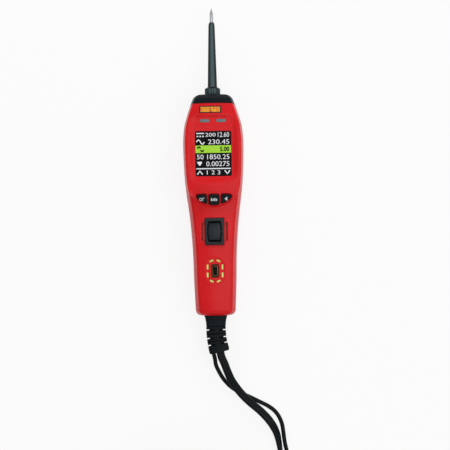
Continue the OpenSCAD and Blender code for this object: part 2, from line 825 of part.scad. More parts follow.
module nose_cap() color(soft_black) difference() {
    intersection() {
        union() {
            face_body(0, seam_z, share_at(nose_seam_y) - nose_back, 1);
            raised_face();
            back_body(0, seam_z, share_at(nose_seam_y) - nose_back, 1);
        }
        nose_space();
    }
    translate([0, nose_y - socket_l - over, probe_z]) rotate([-90, 0, 0])
        cylinder(d = socket_d + socket_wall_gap * 2, h = socket_l + over * 2);
    for (x = [-1, 1], z = [-1, 1])
        translate([x * lamp_x, nose_y - lamp_l - over * 2, probe_z + z * lamp_dz]) rotate([-90, 0, 0]) {
            cylinder(d = lamp_d + gap / 2, h = lamp_l + over * 4);
            cylinder(d = lamp_d + lamp_flange * 2 + gap / 2, h = over * 2 + run);
        }
}

module housing_screws() color(bright_steel) for (p = screw_places)
    translate([p[0], p[1], screw_head_z]) {
        difference() {
            cylinder(d = screw_head_d, h = screw_head_t);
            for (a = [0, 90]) rotate(a) translate([0, 0, screw_head_t / 4])
                cube([screw_head_d * 0.6, screw_head_d * 0.16, screw_head_t], center = true);
        }
        cylinder(d = screw_d, h = seam_z - screw_head_z + screw_grip);
    }

module probe_tip() color(bright_steel) translate([0, 0, probe_z]) rotate([-90, 0, 0])
rotate_extrude() polygon([
    [0, nose_y - plug_l],
    [plug_d / 2, nose_y - plug_l],
    [plug_d / 2, nose_y + collar_l],
    [core_d / 2, nose_y + collar_l],
    [core_d / 2, sleeve_end_y + gap],
    [shaft_d / 2, sleeve_end_y + gap],
    [shaft_d / 2, nose_y + probe_l - point_l],
    [tip_end, nose_y + probe_l],
    [0, nose_y + probe_l]
]);

module probe_sleeve() color(soft_black) translate([0, 0, probe_z]) rotate([-90, 0, 0]) difference() {
    union() {
        rotate_extrude() polygon([
            [0, nose_y + collar_gap],
            [collar_d / 2 - gap, nose_y + collar_gap],
            [collar_d / 2, nose_y + collar_gap + gap],
            [collar_d / 2, nose_y + collar_l - collar_chamfer],
            [sleeve_base_d / 2 + gap, nose_y + collar_l],
            [sleeve_base_d / 2, nose_y + collar_l + gap],
            [sleeve_d / 2, sleeve_end_y - sleeve_d / 2],
            [sleeve_d * 0.43, sleeve_end_y - sleeve_d * 0.24],
            [shaft_d / 2 + gap, sleeve_end_y],
            [0, sleeve_end_y]
        ]);
    }
    translate([0, 0, nose_y - over]) cylinder(d = plug_d, h = collar_l + over);
    translate([0, 0, nose_y]) cylinder(d = core_d, h = probe_l);
    for (i = [0:fluting - 1]) rotate(360 * (i + 0.5) / fluting)
        translate([collar_d / 2 + flute_d * 0.2, 0, nose_y])
        cylinder(d = flute_d, h = collar_l - collar_chamfer, $fn = 16);
}

module probe_socket() color(warm_brass)
translate([0, nose_y - collar_gap, probe_z]) rotate([90, 0, 0]) difference() {
    cylinder(d = socket_d, h = socket_l);
    translate([0, 0, -over]) cylinder(d = plug_d + run * 2, h = plug_l + over * 1.5);
}

module task_lights() color([0.9, 0.93, 0.95]) for (x = [-1, 1], z = [-1, 1])
    translate([x * lamp_x, nose_y - lamp_l, probe_z + z * lamp_dz]) rotate([-90, 0, 0]) {
        cylinder(d = lamp_d, h = lamp_l - lamp_d / 2);
        translate([0, 0, lamp_l - lamp_d / 2]) sphere(d = lamp_d);
        translate([0, 0, -over]) cylinder(d = lamp_d + lamp_flange * 2, h = over);
    }

module screen_window() color([0.03, 0.03, 0.04, 0.6]) translate([0, window_y, window_z])
    linear_extrude(window_t - gap / 3) plate(window_w, window_l, window_r);

module lcd_module() color([0.02, 0.02, 0.03]) translate([0, window_y, pad_z - gap - panel_t])
    linear_extrude(panel_t) square([window_w + pad_edge, window_l + pad_edge], center = true);

module screen_frame() color([0.85, 0.85, 0.84]) translate([0, window_y, board_z]) difference() {
    linear_extrude(pad_z - gap - panel_t - board_z)
        square([window_w + pad_edge * 2, window_l + pad_edge], center = true);
    translate([0, 0, -over]) linear_extrude(pad_z - gap - panel_t - board_z - wall / 2 + over)
        square([window_w, window_l], center = true);
}

module status_lenses() color([0.55, 0.62, 0.62, 0.8]) for (x = [-1, 1])
    translate([x * lens_pitch / 2, lamp_y, board_z + lens_w])
    linear_extrude(dish_floor - lens_bed_d + gap - board_z - lens_w) pill(lens_l, lens_w);

module status_leds() color([0.9, 0.88, 0.7]) for (x = [-1, 1])
    translate([x * lens_pitch / 2, lamp_y, board_z]) linear_extrude(lens_w)
    square([lens_l / 2, lens_w], center = true);

module key_cap(i) color(soft_black) {
    translate([0, 0, key_flange_z]) linear_extrude(key_top_z - key_flange_z) key_outline(i, 0);
    translate([i * key_step, key_mid_y, key_flange_z]) linear_extrude(key_flange_t)
        plate(key_w + key_flange / 2, key_l + key_flange * 2, key_r);
    translate([i * key_step, key_mid_y, key_flange_z - key_travel - key_rest_gap - plunger_sink])
        cylinder(d = plunger_d, h = key_travel + key_rest_gap + plunger_sink);
}
module key_left() key_cap(-1);
module key_middle() key_cap(0);
module key_right() key_cap(1);

module tact_switches() color([0.75, 0.75, 0.77]) for (i = [-1:1])
    translate([i * key_step, key_mid_y, board_z]) difference() {
        translate([0, 0, tact_h / 2]) cube([tact_w, tact_w, tact_h], center = true);
        translate([0, 0, tact_h - plunger_sink - key_travel - gap / 2])
            cylinder(d = plunger_d + gap, h = tact_h);
    }

module rocker_case() color(slate_black) difference() {
    union() {
        translate([0, rocker_y, seat_z]) linear_extrude(bezel_t) plate(bezel_w, bezel_l, gap);
        translate([0, rocker_y, case_floor_z]) linear_extrude(case_depth + gap)
            square([case_w, case_l], center = true);
    }
    translate([0, rocker_y, pivot_z - paddle_l / 2]) linear_extrude(head_d) paddle_outline(paddle_gap);
    translate([0, rocker_y, case_floor_z + case_wall]) linear_extrude(seat_z - case_floor_z - case_wall * 2)
        square([case_w - case_wall * 2 - gap, case_l - case_wall * 2], center = true);
    translate([0, rocker_y, pivot_z]) rotate([0, 90, 0])
        cylinder(d = trunnion_d + run * 2, h = case_w + over * 2, center = true);
    for (y = blade_places) translate([0, rocker_y + y, case_floor_z + case_wall / 2])
        cube([blade_w, blade_t, case_wall * 3], center = true);
}

// Terminals: places along the switch of the three blades
blade_w = 4.8;
blade_t = 0.8;
blade_l = 5.4;
blade_places = [-6.4, 0, 6.4];
contact_drop = 8.8;
contact_z = pivot_z - contact_drop;
contact_d = 1.5;
contact_t = 0.8;
contact_w = 4;
contact_l = 12;
plunger_w = 2.4;

module rocker_paddle() color(slate_black) translate([0, rocker_y, pivot_z]) {
    intersection() {
        translate([0, 0, -paddle_l / 2]) linear_extrude(head_d) paddle_outline(0);
        rotate([90, 0, 90]) linear_extrude(paddle_w + over, center = true) difference() {
            polygon([
                [paddle_draft - paddle_l / 2, pivot_drop + bezel_t + paddle_dip - gap],
                [-paddle_l / 2, over],
                [-paddle_l / 2, -over],
                [-paddle_l / 2 + paddle_rise, -paddle_rise],
                [paddle_l / 2 - paddle_rise, -paddle_rise],
                [paddle_l / 2, -over],
                [paddle_l / 2, over],
                [paddle_l / 2 - paddle_draft, pivot_drop + bezel_t + paddle_dip - gap]
            ]);
            translate([0, pivot_drop + bezel_t + paddle_dish_r]) circle(paddle_dish_r);
        }
    }
    rotate([0, 90, 0]) cylinder(d = trunnion_d, h = case_w - gap, center = true);
    translate([0, 0, contact_z - pivot_z + contact_d / 2 + run + contact_t + gap])
        cylinder(
            d = plunger_w,
            h = pivot_z - contact_z - contact_d / 2 - contact_t - gap - paddle_rise + run
        );
}
// Radius of the paddle's hollow top, through its ends and its middle
paddle_dish_r = (paddle_l * paddle_l / 4 + paddle_dip * paddle_dip) / (2 * paddle_dip);

module rocker_contact() color(warm_brass)
    translate([0, rocker_y, contact_z + contact_d / 2 + run + contact_t / 2])
    cube([contact_w, contact_l, contact_t], center = true);

module rocker_terminals() color(warm_brass) for (y = blade_places) translate([0, rocker_y + y, 0]) {
    translate([0, 0, (case_floor_z - blade_l + contact_z) / 2])
        cube([blade_w, blade_t, contact_z - case_floor_z + blade_l], center = true);
    if (y == 0) translate([0, 0, contact_z]) rotate([0, 90, 0])
        cylinder(d = contact_d, h = blade_w, center = true);
}

module board_outline() difference() {
    polygon(concat(
        [for (y = board_ys) [half_w(share_at(y)) - side_in - wall - board_gap, y]],
        [for (y = backwards(board_ys)) [-half_w(share_at(y)) + side_in + wall + board_gap, y]]
    ));
    translate([0, rocker_y]) square([case_w + gap * 2, case_l + gap * 2], center = true);
    translate([0, port_y]) square([shell_w + gap, shell_l + gap], center = true);
    for (p = screw_places) translate(p) circle(d = boss_d + gap * 2);
}
module main_board() color(board_green) translate([0, 0, board_z - board_t])
    linear_extrude(board_t) board_outline();

// Components under the board: [x, share of the length, width, length, height]
chips = [
    [0, 0.51156, 14, 14, 1.6], [-9, 0.61561, 6, 10, 2.4], [9, 0.47688, 5, 8, 2],
    [0, 0.26879, 9, 6, 1.6], [12, 0.81792, 6, 8, 3]
];
module board_parts() color([0.1, 0.1, 0.11]) for (c = chips)
    translate([c[0] - c[2] / 2, along(c[1]) - c[3] / 2, board_z - board_t - c[4]]) cube([c[2], c[3], c[4]]);

sounder_y = window_y + 6;
sounder_d = 17;
sounder_h = 4;
module sounder() color([0.12, 0.12, 0.13])
translate([0, sounder_y, board_z - board_t - sounder_h]) difference() {
    cylinder(d = sounder_d, h = sounder_h);
    translate([0, 0, -over]) cylinder(d = sounder_d / 6, h = sounder_h / 2 + over);
}

breaker_at = [5, along(0.63873)];
breaker_w = 12;
breaker_l = 18;
breaker_h = 8;
module circuit_breaker() color([0.13, 0.13, 0.14])
    translate([breaker_at[0] - breaker_w / 2, breaker_at[1] - breaker_l / 2, board_z - board_t - breaker_h])
    cube([breaker_w, breaker_l, breaker_h]);

module usb_shell() color(bright_steel) translate([0, port_y, port_face_z - shell_sink - shell_deep]) {
    difference() {
        linear_extrude(shell_deep) square([shell_w, shell_l], center = true);
        translate([0, 0, shell_t * 2]) linear_extrude(shell_deep)
            square([shell_w - shell_t * 2, shell_l - shell_t * 2], center = true);
    }
    translate([0, 0, shell_deep - port_face_z + shell_sink + board_z]) linear_extrude(shell_t) difference() {
        square([shell_w + gap * 4, shell_l + gap * 4], center = true);
        square([shell_w - shell_t, shell_l - shell_t], center = true);
    }
}

module usb_tongue() color(warm_brass)
    translate([0, port_y, port_face_z - shell_sink - shell_deep + shell_t * 2])
    linear_extrude(shell_deep - over * 2) square([tongue_w, shell_l - shell_t * 2 - gap * 4], center = true);

module light_ring() color([0.78, 0.87, 0.42]) {
    translate([0, port_y, board_z]) linear_extrude(light_t) difference() {
        plate(port_step_w, port_step_l, port_step_w / 2 - gap);
        plate(port_w + over * 2, port_l + over * 2, port_r + over);
    }
    translate([0, 0, board_z]) linear_extrude(port_face_z - board_z - crown_h * light_low)
        slot_ring(-gap / 3);
}

// Wires inside: from the strain relief to the switch and the breaker, and from there to the probe socket
wire_d = 1.8;
wire_z = 6;
wire_in = 3;
wire_start_y = tail_y + wall + relief_flange_t + gap / 2;
blade_mid_z = case_floor_z - blade_l / 2;
module wire(route) tube(route, [wire_d, wire_d], loop_sides, 0);
module inner_wires() {
    color("black") wire([
        [-2.4, wire_start_y, relief_z],
        [-2.6, wire_start_y + wire_in, relief_z],
        [-4, along(0.1185), wire_z + 2],
        [-3.4, along(0.21098), wire_z],
        [-2, along(0.29191), wire_z + 2],
        [-1.4, rocker_y + blade_places[0] - blade_t / 2 - wire_in, blade_mid_z],
        [-1.4, rocker_y + blade_places[0] - blade_t / 2, blade_mid_z]
    ]);
    color("firebrick") wire([
        [2.4, wire_start_y, relief_z],
        [2.6, wire_start_y + wire_in, relief_z],
        [4.4, along(0.1185), wire_z + 2],
        [5, along(0.2341), wire_z - 1],
        [5.4, along(0.38439), wire_z - 2],
        [5, along(0.45376), wire_z - 1],
        [3.4, along(0.47341), wire_z + 2],
        [1.4, rocker_y + blade_places[2] + blade_t / 2 + wire_in, blade_mid_z],
        [1.4, rocker_y + blade_places[2] + blade_t / 2, blade_mid_z]
    ]);
    color("firebrick") wire([
        [-1, rocker_y + blade_t / 2, blade_mid_z],
        [-1, rocker_y + blade_t / 2 + wire_in / 2, blade_mid_z],
        [-4.6, rocker_y + blade_t / 2 + wire_in, blade_mid_z - 1],
        [-9, along(0.4422), wire_z],
        [-9, along(0.56936), wire_z - 1],
        [-8, along(0.73121), wire_z],
        [-4, along(0.8237), wire_z + 3],
        [0, nose_y - socket_l - collar_gap - wire_in * 1.5, probe_z],
        [0, nose_y - socket_l - collar_gap, probe_z]
    ]);
}

// Strain relief: a neck held by the shells, a flare, a plain root and slotted ribs that bend

module relief_block(w, d, l, r) rotate([90, 0, 0]) linear_extrude(l) plate(w, d, r);

module strain_relief() color(soft_black) translate([0, 0, relief_z]) {
    translate([0, tail_y + wall + relief_flange_t + gap / 2, 0])
        relief_block(
            relief_w + relief_neck, relief_d - relief_neck, relief_flange_t, relief_r - relief_neck
        );
    translate([0, tail_y + wall + over, 0])
        relief_block(
            relief_w - relief_neck * 2, relief_d - relief_neck * 2, wall + over * 2, relief_r - relief_neck
        );
    translate([0, tail_y, 0]) rotate([90, 0, 0]) loft([
        plate_ring(relief_w + flare_w, relief_d + flare_w / 2, relief_r, 0, 0),
        plate_ring(relief_w + flare_w * 0.3, relief_d + flare_w * 0.15, relief_r, 0, flare_l * 0.4),
        plate_ring(relief_w, relief_d, relief_r, 0, flare_l)
    ]);
    difference() {
        union() {
            translate([0, tail_y - flare_l, 0]) relief_block(relief_w, relief_d, root_l, relief_r);
            for (k = [0:len(rib_l) - 1]) translate(rib_start(k)) rotate(rib_bend * (k + 1))
                translate([0, gap, 0]) relief_block(relief_w, relief_d, rib_l[k] + gap, relief_r);
        }
        for (k = [0:len(rib_l) - 1]) translate(rib_start(k)) rotate(rib_bend * (k + 0.5)) for (x = [-1, 1])
            translate([x * (relief_w + relief_spine) / 2, 0, 0])
            cube([relief_w, relief_slot, relief_d * 2], center = true);
        for (k = [0:len(rib_l) - 2], z = [-1, 1]) translate(rib_start(k)) rotate(rib_bend * (k + 1))
            translate([0, -rib_l[k] / 2, z * (relief_d + relief_spine) / 2])
            cube([relief_w * 2, relief_slot * 0.7, relief_d], center = true);
    }
}

module main_cord() color(soft_black) tube(main_route, [twin_w, twin_t], 8, main_rolls);

main_coil_route = coil_route(
    [coil_at[0], coil_at[1], coil_low], coil_out, coil_pitch, coil_rise, coil_turns, coil_layers, -1,
    coil_start, loop_rings
);
module main_coil() color(soft_black) {
    echo(least_gap = least_gap(main_coil_route, [twin_w, twin_t], 90));
    tube(main_coil_route, [twin_w, twin_t], loop_sides, 90);
}

// Strap round the coil, on its far side from the clips
coil_build = coil_pitch * coil_turns / coil_layers + twin_t;
coil_tall = coil_high - coil_low + twin_w;
module coil_tie() color([0.05, 0.05, 0.05])
    translate([coil_at[0] - tie_w / 2, coil_at[1] + coil_r, coil_lift + coil_tall / 2])
    rotate([90, 0, 90]) linear_extrude(tie_w) difference() {
        plate(coil_build + tie_play * 2 + tie_t * 2, coil_tall + gap * 2 + tie_t * 2, tie_play * 2);
        plate(coil_build + tie_play * 2, coil_tall + gap * 2, tie_play * 2 - tie_t);
    }

module coil_tail() color(soft_black) tube(tail_route, [twin_w, twin_t], 8, tail_rolls);

module split_sleeve() color(soft_black) translate([sleeve_at[0] - split_l, sleeve_at[1], lead_z])
    rotate([90, 0, 90]) linear_extrude(split_l) plate(split_w, split_h, split_h / 3);

module red_lead() color(housing_red) tube(red_route, [lead_d, lead_d], 8, 0);
module black_lead() color(soft_black) tube(black_route, [lead_d, lead_d], 8, 0);

// Spring clips. Local +X runs from the pin to the jaws and the fixed half is on the -Y side.

function web_line(jaw, handle, waist, spread, tip) = [
    [jaw, tip], [jaw * 0.92, waist * 0.55], [jaw * 0.6, waist * 0.86], [jaw * 0.25, waist],
    [-handle * 0.1, waist], [-handle * 0.42, spread], [-handle, spread]
];
function lowered(line, t) =
    [for (i = [len(line) - 1:-1:0]) line[i] - [i == 0 ? t * 0.6 : 0, i == 0 ? 0 : t]];

module clip_web(jaw, handle, waist, spread, t)
    let (line = web_line(jaw, handle, waist, spread, clip_gap)) polygon(concat(line, lowered(line, t)));

// Side plate of a half: its toothed edge faces the other half, and a round ear takes the pin
module clip_ear(jaw, waist, t, teeth, tooth, pin) difference() {
    union() {
        polygon([
            [jaw * 0.96, clip_gap], [jaw * 0.9, waist * 0.5], [jaw * 0.6, waist * 0.82],
            [jaw * 0.25, waist - t / 2], [-waist * 0.6, waist - t / 2], [-waist * 0.6, clip_gap],
            [jaw * 0.2, clip_gap]
        ]);
        circle(waist * 0.68);
    }
    for (i = [0:teeth - 1]) translate([jaw * 0.9 - (i + 0.5) * tooth * 1.6, 0])
        polygon([[-tooth * 0.7, 0], [0, clip_gap + tooth], [tooth * 0.7, 0]]);
    circle(d = pin);
}

module clip_half(jaw, handle, h, t, waist, spread, teeth, tooth, pin, outer) {
    z = outer ? 0 : t + clip_run;
    hh = outer ? h : h - 2 * (t + clip_run);
    translate([0, 0, z]) {
        linear_extrude(hh) clip_web(jaw, handle, waist, spread, t);
        linear_extrude(t) clip_ear(jaw, waist, t, teeth, tooth, pin);
        translate([0, 0, hh - t]) linear_extrude(t) clip_ear(jaw, waist, t, teeth, tooth, pin);
    }
}

module clip_grip(jaw, handle, h, t, waist, spread, grip, outer, crimp_l, crimp_y, crimp_d) {
    z = outer ? 0 : t + clip_run;
    hh = outer ? h : h - 2 * (t + clip_run);
    difference() {
        translate([0, 0, z - grip]) linear_extrude(hh + grip * 2) intersection() {
            offset(r = grip) clip_web(jaw, handle, waist, spread, t);
            translate([-handle * 2, 0]) square([handle * (1 + grip_share), spread * 2]);
        }
        translate([0, 0, z]) linear_extrude(hh) clip_web(jaw, handle, waist, spread, t);
        if (outer) translate([-handle - grip * 2, crimp_y - crimp_d, (h - crimp_d) / 2 - clip_gap]) cube([
            handle * (1 - crimp_share) + grip * 2 + crimp_l + clip_gap,
            crimp_d * 1.5 + t / 2,
            crimp_d + clip_gap * 2
        ]);
    }
}

// Barrel beside the fixed handle, where the lead's wire is held
module clip_crimp(at_x, at_y, l, d, h)
    translate([at_x, at_y, h / 2]) rotate([0, 90, 0]) cylinder(d = d, h = l);

// Torsion spring round the pin, with a leg along each handle
function spring_route(pin, wire, turns, h, leg, leg_y) =
    let (
        r = pin / 2 + wire / 2 + clip_gap,
        pitch = wire + clip_gap,
        low = h / 2 - (turns + 0.5) * pitch / 2
    )
    concat(
        [[-leg, -leg_y, low], [-r * 1.6, -r * 1.1, low]],
        [for (i = [0:turns * 8 + 4]) let (a = -90 + 45 * i) [r * cos(a), r * sin(a), low + pitch * i / 8]],
        [[-r * 1.6, r * 1.05, low + pitch * (turns + 0.5)]]
    );
module clip_spring(pin, wire, turns, h, leg, leg_y)
    tube(spring_route(pin, wire, turns, h, leg, leg_y), [wire, wire], loop_sides, 0);

module battery_place(at) translate([at[0], at[1], grip_t]) rotate(90) children();
module battery_half(outer)
    clip_half(jaw_l, handle_l, clip_h, clip_t, clip_waist, clip_spread, clip_teeth, clip_tooth,
        clip_pin_d + run * 2, outer);
module battery_base(at) battery_place(at) {
    mirror([0, 1, 0]) battery_half(true);
    clip_crimp(-handle_l * crimp_share, -crimp_y, crimp_l, crimp_d, clip_h);
}
module battery_jaw(at) battery_place(at) battery_half(false);
module battery_pin(at, tone) color(tone) battery_place(at) translate([0, 0, -clip_head]) {
    cylinder(d = clip_pin_d, h = clip_h + clip_head * 2);
    cylinder(d = clip_pin_d + clip_t * 2, h = clip_head);
    translate([0, 0, clip_h + clip_head]) cylinder(d = clip_pin_d + clip_t * 2, h = clip_head);
}
module battery_spring(at) battery_place(at)
    clip_spring(clip_pin_d, spring_wire, spring_turns, clip_h, handle_l * 0.44,
        clip_spread - clip_t - spring_wire / 2 - run);
module battery_grip(at, outer) battery_place(at) mirror([0, outer ? 1 : 0, 0])
    clip_grip(jaw_l, handle_l, clip_h, clip_t, clip_waist, clip_spread, grip_t, outer,
        crimp_l, crimp_y, crimp_d);

module red_clip_base() color(bright_steel) battery_base(red_clip_at);
module red_clip_jaw() color(bright_steel) battery_jaw(red_clip_at);
module red_clip_pin() battery_pin(red_clip_at, bright_steel);
module red_clip_spring() color(bright_steel) battery_spring(red_clip_at);
module red_clip_base_grip() color(housing_red) battery_grip(red_clip_at, true);
module red_clip_jaw_grip() color(housing_red) battery_grip(red_clip_at, false);
module black_clip_base() color(bright_steel) battery_base(black_clip_at);
module black_clip_jaw() color(bright_steel) battery_jaw(black_clip_at);
module black_clip_pin() battery_pin(black_clip_at, bright_steel);
module black_clip_spring() color(bright_steel) battery_spring(black_clip_at);
module black_clip_base_grip() color(soft_black) battery_grip(black_clip_at, true);
module black_clip_jaw_grip() color(soft_black) battery_grip(black_clip_at, false);

module aux_cord() color(soft_black) tube(aux_route, [aux_d, aux_d], 8, 0);

small_coil_route = coil_route(
    [small_coil_at[0], small_coil_at[1], small_low], small_out, small_pitch, small_pitch,
    small_coil_turns, small_layers, 1, small_start, loop_rings
);
module aux_coil() color(soft_black) {
    echo(least_gap = least_gap(small_coil_route, [aux_d, aux_d], 0));
    tube(small_coil_route, [aux_d, aux_d], loop_sides, 0);
}

small_build = small_pitch * small_coil_turns / small_layers + aux_d;
small_tall = small_high - small_low + aux_d;
module aux_tie() color([0.05, 0.05, 0.05])
    translate(concat(small_coil_at + [-small_tie_w / 2, small_coil_r], coil_lift + small_tall / 2))
    rotate([90, 0, 90]) linear_extrude(small_tie_w) difference() {
        plate(small_build + tie_play + tie_t * 2, small_tall + gap * 2 + tie_t * 2, tie_play * 2);
        plate(small_build + tie_play, small_tall + gap * 2, tie_play * 2 - tie_t);
    }

module aux_tail() color(soft_black) tube(aux_tail_route, [aux_d, aux_d], 8, 0);

module small_place() translate([aux_clip_at[0], aux_clip_at[1], small_grip_t]) rotate(90) children();
module small_half(outer)
    clip_half(small_jaw_l, small_handle_l, small_clip_h, small_clip_t, small_waist, small_spread,
        clip_teeth, small_tooth, small_pin_d + run * 2, outer);
module aux_clip_base() color(bright_steel) small_place() {
    mirror([0, 1, 0]) small_half(true);
    clip_crimp(-small_handle_l * crimp_share, -small_crimp_y, small_crimp_l, small_crimp_d, small_clip_h);
}
module aux_clip_jaw() color(bright_steel) small_place() small_half(false);
module aux_clip_pin() color(bright_steel) small_place() translate([0, 0, -small_head]) {
    cylinder(d = small_pin_d, h = small_clip_h + small_head * 2);
    cylinder(d = small_pin_d + small_clip_t * 2, h = small_head);
    translate([0, 0, small_clip_h + small_head])
        cylinder(d = small_pin_d + small_clip_t * 2, h = small_head);
}
module aux_clip_spring() color(bright_steel) small_place()
    clip_spring(small_pin_d, small_spring_wire, small_spring_turns, small_clip_h, small_handle_l * 0.44,
        small_spread - small_clip_t - small_spring_wire / 2 - run);
module small_grip(outer) small_place() mirror([0, outer ? 1 : 0, 0])
    clip_grip(small_jaw_l, small_handle_l, small_clip_h, small_clip_t, small_waist, small_spread,
        small_grip_t, outer, small_crimp_l, small_crimp_y, small_crimp_d);
module aux_clip_base_grip() color(soft_black) small_grip(true);
module aux_clip_jaw_grip() color(soft_black) small_grip(false);

front_shell();
rear_shell();
nose_cap();
housing_screws();
probe_tip();
probe_sleeve();
probe_socket();
task_lights();
screen_window();
lcd_module();
screen_frame();
status_lenses();
status_leds();
key_left();
key_middle();
key_right();
tact_switches();
rocker_case();
rocker_paddle();
rocker_contact();
rocker_terminals();
main_board();
board_parts();
sounder();
circuit_breaker();
usb_shell();
usb_tongue();
light_ring();
inner_wires();
strain_relief();
main_cord();
main_coil();
coil_tie();
coil_tail();
split_sleeve();
red_lead();
black_lead();
red_clip_base();
red_clip_jaw();
red_clip_pin();
red_clip_spring();
red_clip_base_grip();
red_clip_jaw_grip();
black_clip_base();
black_clip_jaw();
black_clip_pin();
black_clip_spring();
black_clip_base_grip();
black_clip_jaw_grip();
aux_cord();
aux_coil();
aux_tie();
aux_tail();
aux_clip_base();
aux_clip_jaw();
aux_clip_pin();
aux_clip_spring();
aux_clip_base_grip();
aux_clip_jaw_grip();
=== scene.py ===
import bpy, bmesh, json, math
import numpy as np
from mathutils import Matrix, Vector

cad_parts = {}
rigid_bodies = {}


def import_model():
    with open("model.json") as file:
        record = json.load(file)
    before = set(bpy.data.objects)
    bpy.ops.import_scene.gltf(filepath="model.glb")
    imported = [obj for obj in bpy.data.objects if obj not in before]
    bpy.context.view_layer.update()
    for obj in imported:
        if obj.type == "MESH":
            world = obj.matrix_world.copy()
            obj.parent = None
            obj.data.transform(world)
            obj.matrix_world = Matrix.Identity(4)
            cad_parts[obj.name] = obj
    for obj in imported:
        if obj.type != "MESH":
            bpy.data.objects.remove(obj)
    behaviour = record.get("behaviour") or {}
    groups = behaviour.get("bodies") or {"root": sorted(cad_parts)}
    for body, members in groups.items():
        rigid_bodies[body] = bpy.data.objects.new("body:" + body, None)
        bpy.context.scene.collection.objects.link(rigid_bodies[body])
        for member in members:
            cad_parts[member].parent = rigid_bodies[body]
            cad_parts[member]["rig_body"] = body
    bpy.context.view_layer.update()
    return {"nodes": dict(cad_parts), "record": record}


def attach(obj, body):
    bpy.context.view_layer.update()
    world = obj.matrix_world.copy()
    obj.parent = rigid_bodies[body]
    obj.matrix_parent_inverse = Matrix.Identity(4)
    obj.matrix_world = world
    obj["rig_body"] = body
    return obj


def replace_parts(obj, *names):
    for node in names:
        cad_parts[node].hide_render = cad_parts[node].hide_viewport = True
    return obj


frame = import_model()
mm = 0.001
scene = bpy.context.scene
scene.view_settings.view_transform = "Standard"


def say(stage):
    print("scene:", stage)


# Camera and floor

shot = {
    "aim": (0.00825, -0.01567),  # what the middle of the picture looks at
    "faceHeight": 0.032,
    "distance": 1.6,
    "field": 0.34965,  # what the picture spans at that height
    "roll": -0.015,
}
cameraData = bpy.data.cameras.new("camera")
cameraData.sensor_width = 36
cameraData.lens = 36 * shot["distance"] / shot["field"]
cameraData.clip_start, cameraData.clip_end = 0.05, 20
camera = bpy.data.objects.new("camera", cameraData)
camera.location = (*shot["aim"], shot["faceHeight"] + shot["distance"])
camera.rotation_euler = (0, 0, shot["roll"])
scene.collection.objects.link(camera)
scene.camera = camera


def unselect():
    if bpy.context.object and bpy.context.object.mode != "OBJECT":
        bpy.ops.object.mode_set(mode="OBJECT")
    bpy.ops.object.select_all(action="DESELECT")


def pick(*pieces):
    unselect()
    for piece in pieces:
        piece.select_set(True)
    bpy.context.view_layer.objects.active = pieces[0]
    return pieces[0]


def newest(name):
    piece = bpy.context.object
    piece.name = piece.data.name = name
    return piece


def applied(piece):  # the place, turn and scale go into the mesh
    pick(piece)
    bpy.ops.object.transform_apply(location=True, rotation=True, scale=True)
    return piece


def modified(piece, kind, **settings):
    pick(piece)
    modifier = piece.modifiers.new(kind.lower(), kind)
    for key, value in settings.items():
        setattr(modifier, key, value)
    bpy.ops.object.modifier_apply(modifier=modifier.name)
    return piece


def bevelled(piece, width, segments=2, angle=0.9):
    return modified(
        piece, "BEVEL", width=width * mm, segments=segments, limit_method="ANGLE", angle_limit=angle,
        harden_normals=False)


def edit(piece, mode="FACE"):
    pick(piece)
    bpy.ops.object.mode_set(mode="EDIT")
    bpy.ops.mesh.select_mode(type=mode)
    bpy.ops.mesh.select_all(action="DESELECT")
    return bmesh.from_edit_mesh(piece.data)


def chosen(piece, mesh, test, kind="faces"):  # selects what passes a test, in edit mode
    for item in getattr(mesh, kind):
        item.select_set(bool(test(item)))
    mesh.select_flush_mode()
    bmesh.update_edit_mesh(piece.data)


def leave(piece):
    bpy.ops.object.mode_set(mode="OBJECT")
    return piece


def outward(piece, merge=1e-6):
    edit(piece, "VERT")
    bpy.ops.mesh.select_all(action="SELECT")
    bpy.ops.mesh.remove_doubles(threshold=merge)
    bpy.ops.mesh.normals_make_consistent(inside=False)
    return leave(piece)


def smooth(piece, angle=35):
    pick(piece)
    bpy.ops.object.shade_smooth_by_angle(angle=math.radians(angle))
    return piece


def fromPoints(name, points, edges, faces):
    mesh = bpy.data.meshes.new(name)
    mesh.from_pydata([tuple(mm * v for v in p) for p in points], edges, faces)
    mesh.update()
    piece = bpy.data.objects.new(name, mesh)
    scene.collection.objects.link(piece)
    return piece


def block(name, low, high):
    size = [(b - a) * mm for a, b in zip(low, high)]
    unselect()
    bpy.ops.mesh.primitive_cube_add(size=1, location=[(a + b) / 2 * mm for a, b in zip(low, high)], scale=size)
    return applied(newest(name))


def rod(name, start, end, radius, endRadius=None, sides=32):  # round bar between two points
    a, b = Vector(start) * mm, Vector(end) * mm
    unselect()
    bpy.ops.mesh.primitive_cone_add(
        vertices=sides, radius1=radius * mm, radius2=(radius if endRadius is None else endRadius) * mm,
        depth=(b - a).length, location=(a + b) / 2, rotation=(b - a).to_track_quat("Z", "Y").to_euler())
    return applied(newest(name))


def joined(name, *pieces):
    pick(*pieces)
    bpy.ops.object.join()
    return newest(name)


def cut(piece, tool, operation="DIFFERENCE"):
    modified(piece, "BOOLEAN", object=tool, operation=operation, solver="MANIFOLD")
    bpy.data.objects.remove(tool, do_unlink=True)
    return piece


def ringLoft(name, rings):  # closed solid through rings of equal counts
    n, m = len(rings[0]), len(rings)
    points = [p for ring in rings for p in ring]
    faces = [
        (i * n + j, i * n + (j + 1) % n, (i + 1) * n + (j + 1) % n, (i + 1) * n + j)
        for i in range(m - 1) for j in range(n)]
    faces += [tuple(range(n - 1, -1, -1)), tuple((m - 1) * n + j for j in range(n))]
    return fromPoints(name, points, [], faces)


